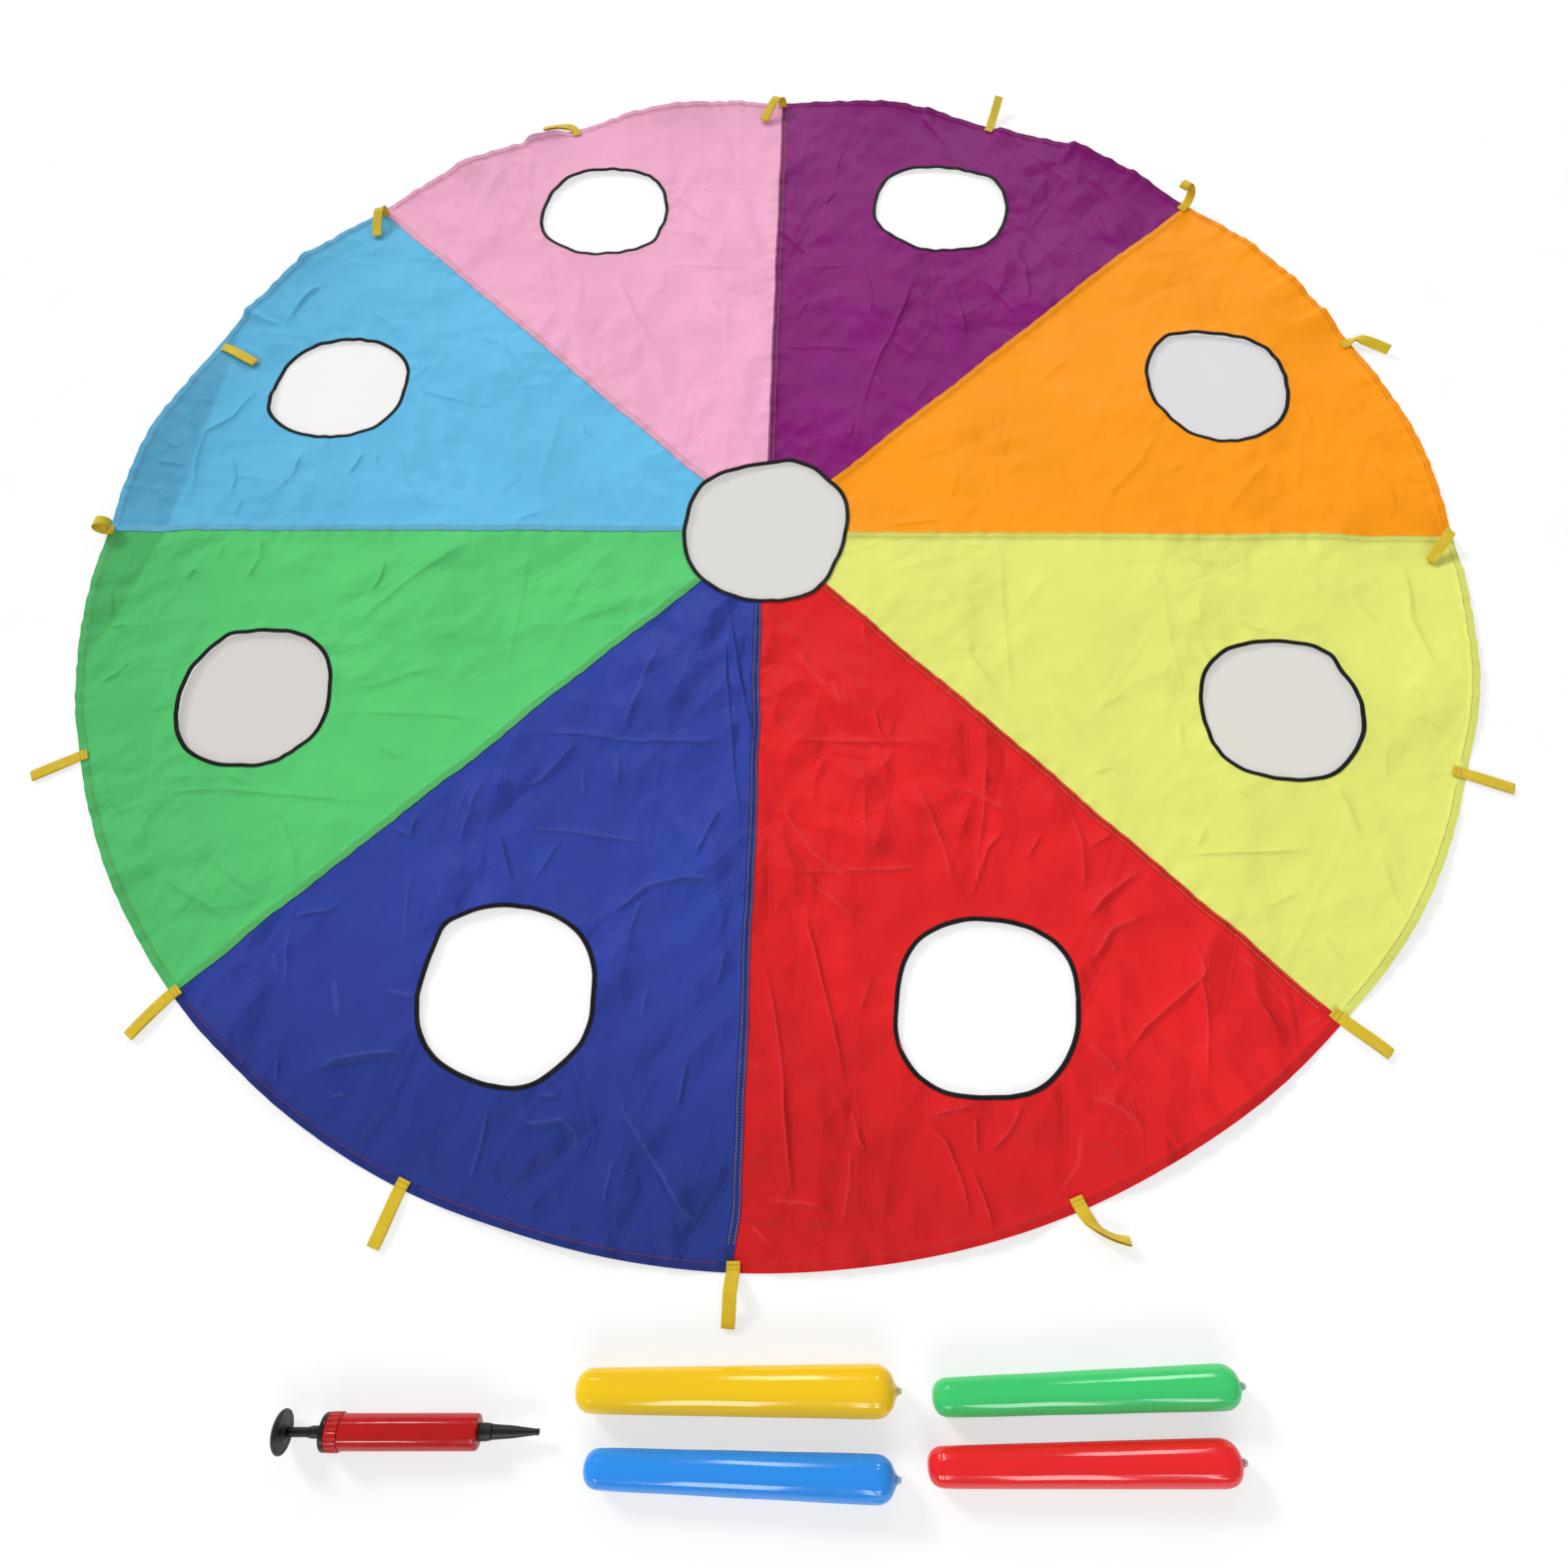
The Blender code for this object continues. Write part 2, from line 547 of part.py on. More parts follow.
def build_bat(name, shares, parent):
    column, row, along_share, across_share, turn, length_share, radius_share = shares
    length = BAT_LENGTH * length_share
    small_radius = BAT_SMALL_RADIUS * radius_share
    large_radius = BAT_LARGE_RADIUS * radius_share
    small = bat_end(small_radius)
    large = bat_end(large_radius)
    hole = VALVE_RADIUS + GAP
    outside = small + [(length - depth, radius) for depth, radius in large[:0:-1]] + [(length, hole)]
    small_side = small[-1][0]
    large_side = length - large[-1][0]
    small_inside = [(depth + FILM, radius) for depth, radius in bat_end(small_radius - FILM)]
    large_inside = [(length - depth - FILM, radius) for depth, radius in bat_end(large_radius - FILM)]
    inside = small_inside + large_inside[:0:-1] + [(length - FILM, hole)]

    slope = math.asin((large_radius - small_radius) / (large_side - small_side))
    x = BAT_COLUMN_X + column * (BAT_LENGTH + VALVE_OUTSIDE + PLUG_CAP + BAT_COLUMN_GAP)
    first_row = -(HEM_LINE + LOOP_LENGTH + BAT_TO_LOOP + BAT_LARGE_RADIUS)
    y = first_row - row * (2 * BAT_LARGE_RADIUS + BAT_ROW_GAP)
    place = Vector((x + along_share * BAT_LARGE_RADIUS, y + across_share * BAT_LARGE_RADIUS,
                    small_radius * math.cos(slope) - small_side * math.sin(slope) + FLOOR_GAP))
    frame = (Matrix.Translation(place) @ Matrix.Rotation(math.radians(turn), 4, "Z")
             @ Matrix.Rotation(-slope, 4, "Y"))
    axis = guide(f"bat_{name}_axis", frame, parent)
    turned(f"bat_{name}", outside + inside[::-1], BAT_SIDES, f"bat_{name}", 0.15, axis)

    bore = VALVE_RADIUS - VALVE_WALL
    flange = length + GAP
    end = length + VALVE_OUTSIDE
    stem = [(length - VALVE_INSIDE, bore), (length - VALVE_INSIDE, VALVE_RADIUS), (flange, VALVE_RADIUS),
            (flange, VALVE_FLANGE_RADIUS), (flange + VALVE_FLANGE, VALVE_FLANGE_RADIUS),
            (flange + VALVE_FLANGE, VALVE_RADIUS), (end, VALVE_RADIUS), (end, bore)]
    turned(f"bat_{name}_valve_stem", stem, VALVE_SIDES, "valve_clear", 0.2, axis, ring=True)
    pin = bore - GAP
    seat = end + GAP
    plug = [(seat - PLUG_LENGTH, 0), (seat - PLUG_LENGTH, pin), (seat, pin), (seat, PLUG_CAP_RADIUS),
            (seat + PLUG_CAP, PLUG_CAP_RADIUS), (seat + PLUG_CAP, 0)]
    pull = guide(f"bat_{name}_plug_axis", Matrix.Translation((length, 0, 0)), axis)
    turned(f"bat_{name}_valve_plug", [(along - length, radius) for along, radius in plug], VALVE_SIDES,
           "valve_clear", 0.2, pull)


# Pump

BUSH_START = KNOB_LENGTH + ROD_SHOWN
CAP_START = BUSH_START + BUSH_LENGTH
COLLAR_START = CAP_START + CAP_LENGTH
BARREL_START = COLLAR_START + COLLAR_LENGTH
BARREL_END = BARREL_START + BARREL_LENGTH
CAP_RADIUS = BARREL_RADIUS + CAP_STAND
COLLAR_RADIUS = BARREL_RADIUS + COLLAR_STAND
BORE_RADIUS = BARREL_RADIUS - BARREL_WALL
NECK_RADIUS = BARREL_RADIUS - NECK_STEP
PISTON_END = BARREL_END - BARREL_WALL - PISTON_TO_END
PISTON_START = PISTON_END - PISTON_LENGTH
PISTON_RADIUS = BORE_RADIUS - SEAL_STAND
GROOVE_RADIUS = PISTON_RADIUS - SEAL_DEPTH


def build_plunger(parent):
    dome = []
    for i in range(DOME_STEPS + 1):
        turn = QUARTER * i / DOME_STEPS
        dome.append((KNOB_DOME * (1 - math.cos(turn)), KNOB_RADIUS * math.sin(turn)))
    socket_end = KNOB_LENGTH - KNOB_SOCKET
    rim_end = KNOB_DOME + KNOB_RIM
    knob = dome + [(rim_end, KNOB_RADIUS - KNOB_RIM / 2), (rim_end, KNOB_HUB_RADIUS),
                   (KNOB_LENGTH, KNOB_HUB_RADIUS), (KNOB_LENGTH, ROD_RADIUS + GAP),
                   (socket_end, ROD_RADIUS + GAP), (socket_end, 0)]
    turned("pump_knob", knob, PUMP_SIDES, "pump_black", 0.35, parent)

    start = socket_end + GAP
    end = PISTON_START + PISTON_SOCKET - GAP
    thin = ROD_RADIUS - ROD_CHAMFER
    rod = [(start, 0), (start, thin), (start + ROD_CHAMFER, ROD_RADIUS), (end - ROD_CHAMFER, ROD_RADIUS),
           (end, thin), (end, 0)]
    turned("pump_rod", rod, PUMP_SMALL_SIDES, "pump_black", 0.35, parent)

    middle = (PISTON_START + PISTON_END) / 2
    half = SEAL_WIDTH / 2
    socket = PISTON_START + PISTON_SOCKET
    piston = [(socket, 0), (socket, ROD_RADIUS + GAP), (PISTON_START, ROD_RADIUS + GAP),
              (PISTON_START, PISTON_RADIUS), (middle - half - GAP, PISTON_RADIUS),
              (middle - half - GAP, GROOVE_RADIUS), (middle + half + GAP, GROOVE_RADIUS),
              (middle + half + GAP, PISTON_RADIUS), (PISTON_END, PISTON_RADIUS), (PISTON_END, 0)]
    turned("pump_piston", piston, PUMP_SIDES, "pump_black", 0.4, parent)
    seal = [(middle - half, GROOVE_RADIUS + GAP), (middle - half, PISTON_RADIUS),
            (middle, BORE_RADIUS - GAP), (middle + half, PISTON_RADIUS), (middle + half, GROOVE_RADIUS + GAP)]
    turned("pump_piston_seal", seal, PUMP_SIDES, "seal_black", 0.6, parent, ring=True)


def ribbed_collar(parent):
    """The screw collar: a ring whose outer face carries grip ribs along the axis."""
    start = COLLAR_START + GAP
    end = COLLAR_START + COLLAR_LENGTH - GAP
    bm = bmesh.new()
    pitch = TAU / COLLAR_RIBS
    outline = []
    for rib in range(COLLAR_RIBS):
        for share, radius in ((0, COLLAR_RADIUS - RIB_DEPTH), ((1 - RIB_CREST_SHARE) / 2, COLLAR_RADIUS),
                              ((1 + RIB_CREST_SHARE) / 2, COLLAR_RADIUS)):
            outline.append((pitch * (rib + share), radius))
    rings = []
    for along, bore in ((start, False), (end, False), (end, True), (start, True)):
        ring = []
        for turn, radius in outline:
            reach = NECK_RADIUS + GAP if bore else radius
            ring.append(bm.verts.new((along, reach * math.sin(turn), reach * math.cos(turn))))
        rings.append(ring)
    for ring, following in zip(rings, rings[1:] + rings[:1]):
        for i in range(len(ring)):
            j = (i + 1) % len(ring)
            bm.faces.new((ring[i], ring[j], following[j], following[i]))
    return finish("pump_collar", bm, "pump_red", 0.25, parent)


def build_pump_body(parent):
    bore = ROD_RADIUS + GAP
    spigot_end = COLLAR_START + CAP_SPIGOT
    slope = CAP_ROUND * math.cos(QUARTER / 2)
    cap = [(BUSH_START, bore), (BUSH_START, BUSH_RADIUS), (CAP_START, BUSH_RADIUS),
           (CAP_START, CAP_RADIUS - CAP_ROUND),
           (CAP_START + CAP_ROUND - slope, CAP_RADIUS - CAP_ROUND + slope),
           (CAP_START + CAP_ROUND, CAP_RADIUS), (COLLAR_START, CAP_RADIUS), (COLLAR_START, BORE_RADIUS - GAP),
           (spigot_end, BORE_RADIUS - GAP), (spigot_end, bore)]
    turned("pump_rear_cap", cap, PUMP_SIDES, "pump_black", 0.35, parent, ring=True)
    ribbed_collar(parent)

    neck_start = COLLAR_START + GAP
    bend = BARREL_SHOULDER * math.cos(QUARTER / 2)
    boss_end = BARREL_END + BOSS_LENGTH
    barrel = [(neck_start, BORE_RADIUS), (neck_start, NECK_RADIUS), (BARREL_START, NECK_RADIUS),
              (BARREL_START, BARREL_RADIUS), (BARREL_END - BARREL_SHOULDER, BARREL_RADIUS),
              (BARREL_END - BARREL_SHOULDER + bend, BARREL_RADIUS - BARREL_SHOULDER + bend),
              (BARREL_END, BARREL_RADIUS - BARREL_SHOULDER), (BARREL_END, BOSS_RADIUS),
              (boss_end, BOSS_RADIUS), (boss_end, AIR_HOLE_RADIUS),
              (BARREL_END - BARREL_WALL, AIR_HOLE_RADIUS),
              (BARREL_END - BARREL_WALL, BORE_RADIUS - BARREL_SHOULDER / 2),
              (BARREL_END - BARREL_SHOULDER, BORE_RADIUS)]
    turned("pump_barrel", barrel, PUMP_SIDES, "pump_red", 0.1, parent, ring=True)

    disc_start = boss_end + GAP
    disc_radius = BOSS_RADIUS - GAP
    disc_end = disc_start + DISC
    disc = [(disc_start, 0), (disc_start, disc_radius), (disc_end, disc_radius), (disc_end, 0)]
    turned("pump_valve_disc", disc, PUMP_SMALL_SIDES, "seal_black", 0.6, parent)

    base_start = BARREL_END + GAP
    base_end = BARREL_END + BASE_LENGTH
    seat = disc_end + GAP
    socket = seat + BASE_SEAT
    base = [(base_start, BOSS_RADIUS + GAP), (base_start, BASE_RADIUS),
            (base_start + BASE_FLANGE, BASE_RADIUS),
            (base_end, BASE_FRONT_RADIUS), (base_end, NOZZLE_SPIGOT_RADIUS + GAP),
            (socket, NOZZLE_SPIGOT_RADIUS + GAP), (socket, AIR_HOLE_RADIUS), (seat, AIR_HOLE_RADIUS),
            (seat, BOSS_RADIUS + GAP)]
    turned("pump_nozzle_base", base, PUMP_SIDES, "pump_black", 0.4, parent, ring=True)

    start = base_end + GAP
    spigot = start - NOZZLE_SPIGOT
    length = NOZZLE_LENGTH
    outside = [(start + length * share, NOZZLE_RADIUS + (NOZZLE_TIP_RADIUS - NOZZLE_RADIUS) * narrowing)
               for share, narrowing in NOZZLE_TAPER_SHARES]
    nozzle = ([(spigot, NOZZLE_BORE), (spigot, NOZZLE_SPIGOT_RADIUS), (start, NOZZLE_SPIGOT_RADIUS)] + outside
              + [(start + length, (NOZZLE_TIP_RADIUS + NOZZLE_BORE) / 2), (start + length, NOZZLE_BORE)])
    turned("pump_nozzle", nozzle, PUMP_SMALL_SIDES, "pump_black", 0.4, parent, ring=True)
    return start + length


def build_pump(parent):
    """Lays the pump on its knob's rim and the front of its barrel."""
    rim_at = KNOB_DOME
    front_at = BARREL_END - BARREL_SHOULDER
    slope = math.asin((KNOB_RADIUS - BARREL_RADIUS) / (front_at - rim_at))
    tip = BARREL_END + BASE_LENGTH + GAP + NOZZLE_LENGTH
    rows = 2 * BAT_LARGE_RADIUS + BAT_ROW_GAP
    y = -(HEM_LINE + LOOP_LENGTH + BAT_TO_LOOP + BAT_LARGE_RADIUS) - rows / 2 + PUMP_NUDGE
    height = KNOB_RADIUS * math.cos(slope) + rim_at * math.sin(slope) + FLOOR_GAP
    place = Vector((BAT_COLUMN_X - PUMP_TO_BAT - tip, y, height))
    frame = (Matrix.Translation(place) @ Matrix.Rotation(math.radians(PUMP_TURN), 4, "Z")
             @ Matrix.Rotation(slope, 4, "Y"))
    axis = guide("pump_axis", frame, parent)
    build_pump_body(axis)
    build_plunger(guide("plunger_axis", Matrix.Identity(4), axis))


def main():
    for old in list(bpy.data.objects):
        bpy.data.objects.remove(old)
    canopy = guide("canopy_centre", Matrix.Translation((CANOPY_X, CANOPY_Y, 0)))
    build_canopy(canopy)
    build_handles(canopy)
    for name, shares in BAT_LAYOUT_SHARES.items():
        build_bat(name, shares, canopy)
    build_pump(canopy)
    bpy.context.view_layer.update()


main()
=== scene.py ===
"""Looks of the play parachute set: the laid canopy, its webbing loops, the bats and the pump.

Every length is in metres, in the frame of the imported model. The canopy is worked out on its flat
pattern, about its own centre, and then laid: warp() moves a point of the pattern to where the
cloth lies, and cloth_height() says how far it stands off the floor there.
"""

import math

import bmesh
import bpy
import numpy as np
from mathutils import Matrix, Vector
from mathutils.geometry import delaunay_2d_cdt


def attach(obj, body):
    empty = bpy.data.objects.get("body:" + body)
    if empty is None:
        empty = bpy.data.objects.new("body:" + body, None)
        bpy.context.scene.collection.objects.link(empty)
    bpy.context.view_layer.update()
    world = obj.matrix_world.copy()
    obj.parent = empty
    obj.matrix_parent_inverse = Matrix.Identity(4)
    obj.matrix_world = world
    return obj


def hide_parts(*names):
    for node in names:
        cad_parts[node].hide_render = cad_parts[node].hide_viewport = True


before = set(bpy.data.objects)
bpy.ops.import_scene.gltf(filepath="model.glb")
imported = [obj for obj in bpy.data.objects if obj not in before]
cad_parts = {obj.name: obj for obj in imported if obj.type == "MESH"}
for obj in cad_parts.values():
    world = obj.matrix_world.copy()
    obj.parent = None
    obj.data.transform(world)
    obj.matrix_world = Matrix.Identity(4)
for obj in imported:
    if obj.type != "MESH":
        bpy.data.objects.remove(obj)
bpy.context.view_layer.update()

TAU = math.tau
QUARTER = math.pi / 2
MM = 0.001


def spot(radius, turn):
    """A place on the flat pattern, from its distance to the centre and its angle."""
    return radius * math.cos(turn), radius * math.sin(turn)


# The canopy, as the solids have it
CENTRE = Vector((0.006, 0.1242, 0))
RIM = 1.2
PANELS = ("orange", "purple", "pink", "sky", "green", "royal", "red", "lime")
PANEL_TURN = TAU / 8
HANDLE_TURN = TAU / 16
CLOTH = 0.8 * MM
GAP = 0.3 * MM
LAP = CLOTH + GAP
ALLOWANCE = 12 * MM
SEAM_STEP = 2 * MM
HEM_LINE = RIM - 13 * MM
HEM_STEP = 1 * MM
HOLE_RADIUS = 0.130
HOLE_RING = 0.913
CENTRE_RADIUS = 0.148
TAPE = 0.6 * MM
TAPE_WIDTH = 7 * MM
TAPE_LIFT = TAPE + GAP
TAPE_RISE = 15 * MM
FLUTE_BAND = 0.13
FLUTE_HEIGHT = 12 * MM
FLUTE_SHARES = (0.45, 0.95, 1.0, 0.85, 0.35, 0.15, 0.15, 0.3)

# The size of the cloth's triangles
GRAIN = 6.5 * MM

# The openings, the centre one last, and the loops' hinges
HOLES = [spot(HOLE_RING, PANEL_TURN * (n + 0.5)) for n in range(8)] + [(0.0, 0.0)]
HOLE_RADII = [HOLE_RADIUS] * 8 + [CENTRE_RADIUS]
HINGES = np.array([spot(HEM_LINE, HANDLE_TURN * k) for k in range(16)])

# How the openings' edges lie, in millimetres outside their true circles, every 15 degrees.
HOLE_LIE = (
    (-3, 0, 5, 8, 5, 0, 1, 6, 14, 9, 3, -2, -5, -4, -6, -3, 2, 3, 3, 3, 2, 2, 1, -2),
    (-4, -3, 1, 4, -3, -4, -4, 0, 11, 20, 17, 13, 13, 15, 12, 4, 3, -1, -7, -4, 2, 2, -3, -5),
    (-20, -21, -15, -10, -7, -7, -5, 0, 8, 13, 13, 13, 15, 20, 22, 14, 9, 4, -1, -1, 0, 1, -14,
     -18),
    (2, 6, 4, 0, -2, -8, -12, -13, -10, -9, -8, -11, -10, -5, 2, 2, 1, -1, -2, 1, 4, 8, 7, 3),
    (-5, -5, -1, 3, 5, 4, 1, 4, 10, 3, -2, -8, -11, -11, -8, -6, -8, -10, -10, -6, -2, 0, 3, 0),
    (-4, -1, 2, 5, 5, 4, 5, 10, 13, 17, 3, -3, -5, -4, -5, -7, -10, -11, -8, -2, 0, -1, 1, -1),
    (-2, 3, 9, 9, 5, 0, -2, 0, 2, 3, 0, -3, -3, 3, 8, 8, 3, -5, -9, -7, -4, -2, -2, -2),
    (-3, -1, 0, 11, 8, 1, -4, -6, -3, -3, -6, -9, -10, -9, -3, 0, -3, -6, -7, -4, -1, -3, -3, -2),
    (-7, 1, 11, 11, 17, 17, 6, 2, 5, 8, 2, -7, -8, -8, -5, -3, -6, -6, -6, -3, 3, 1, -8, -9),
)
# How the rim lies, in millimetres outside its true circle, every 7.5 degrees.
RIM_LIE = (
    0, 4, 5, 4, 6, 7, 5, 4, 3, 1, 3, 0, 0, -1, 3, 4, 5, 4, 3, 4, 1, 0, -5, -4, -4, -5, -4, -1, -5,
    -4, -1, -4, -2, -1, -4, -2, 0, 1, 3, 4, 3, 5, 6, 10, 9, 7, 8, 3
)
# How far in from the rim, and out from the openings, the cloth is pulled askew.
PULL_REACH = 0.12
# How far the seam between the royal and red panels bows towards the red one.
SEAM_BOW = 6.5 * MM
# How far the weave wanders, and the pitch and seed of each of its two sizes of wandering.
WANDER = 1.6 * MM
WANDER_PITCHES = ((0.09, 3), (0.045, 5))

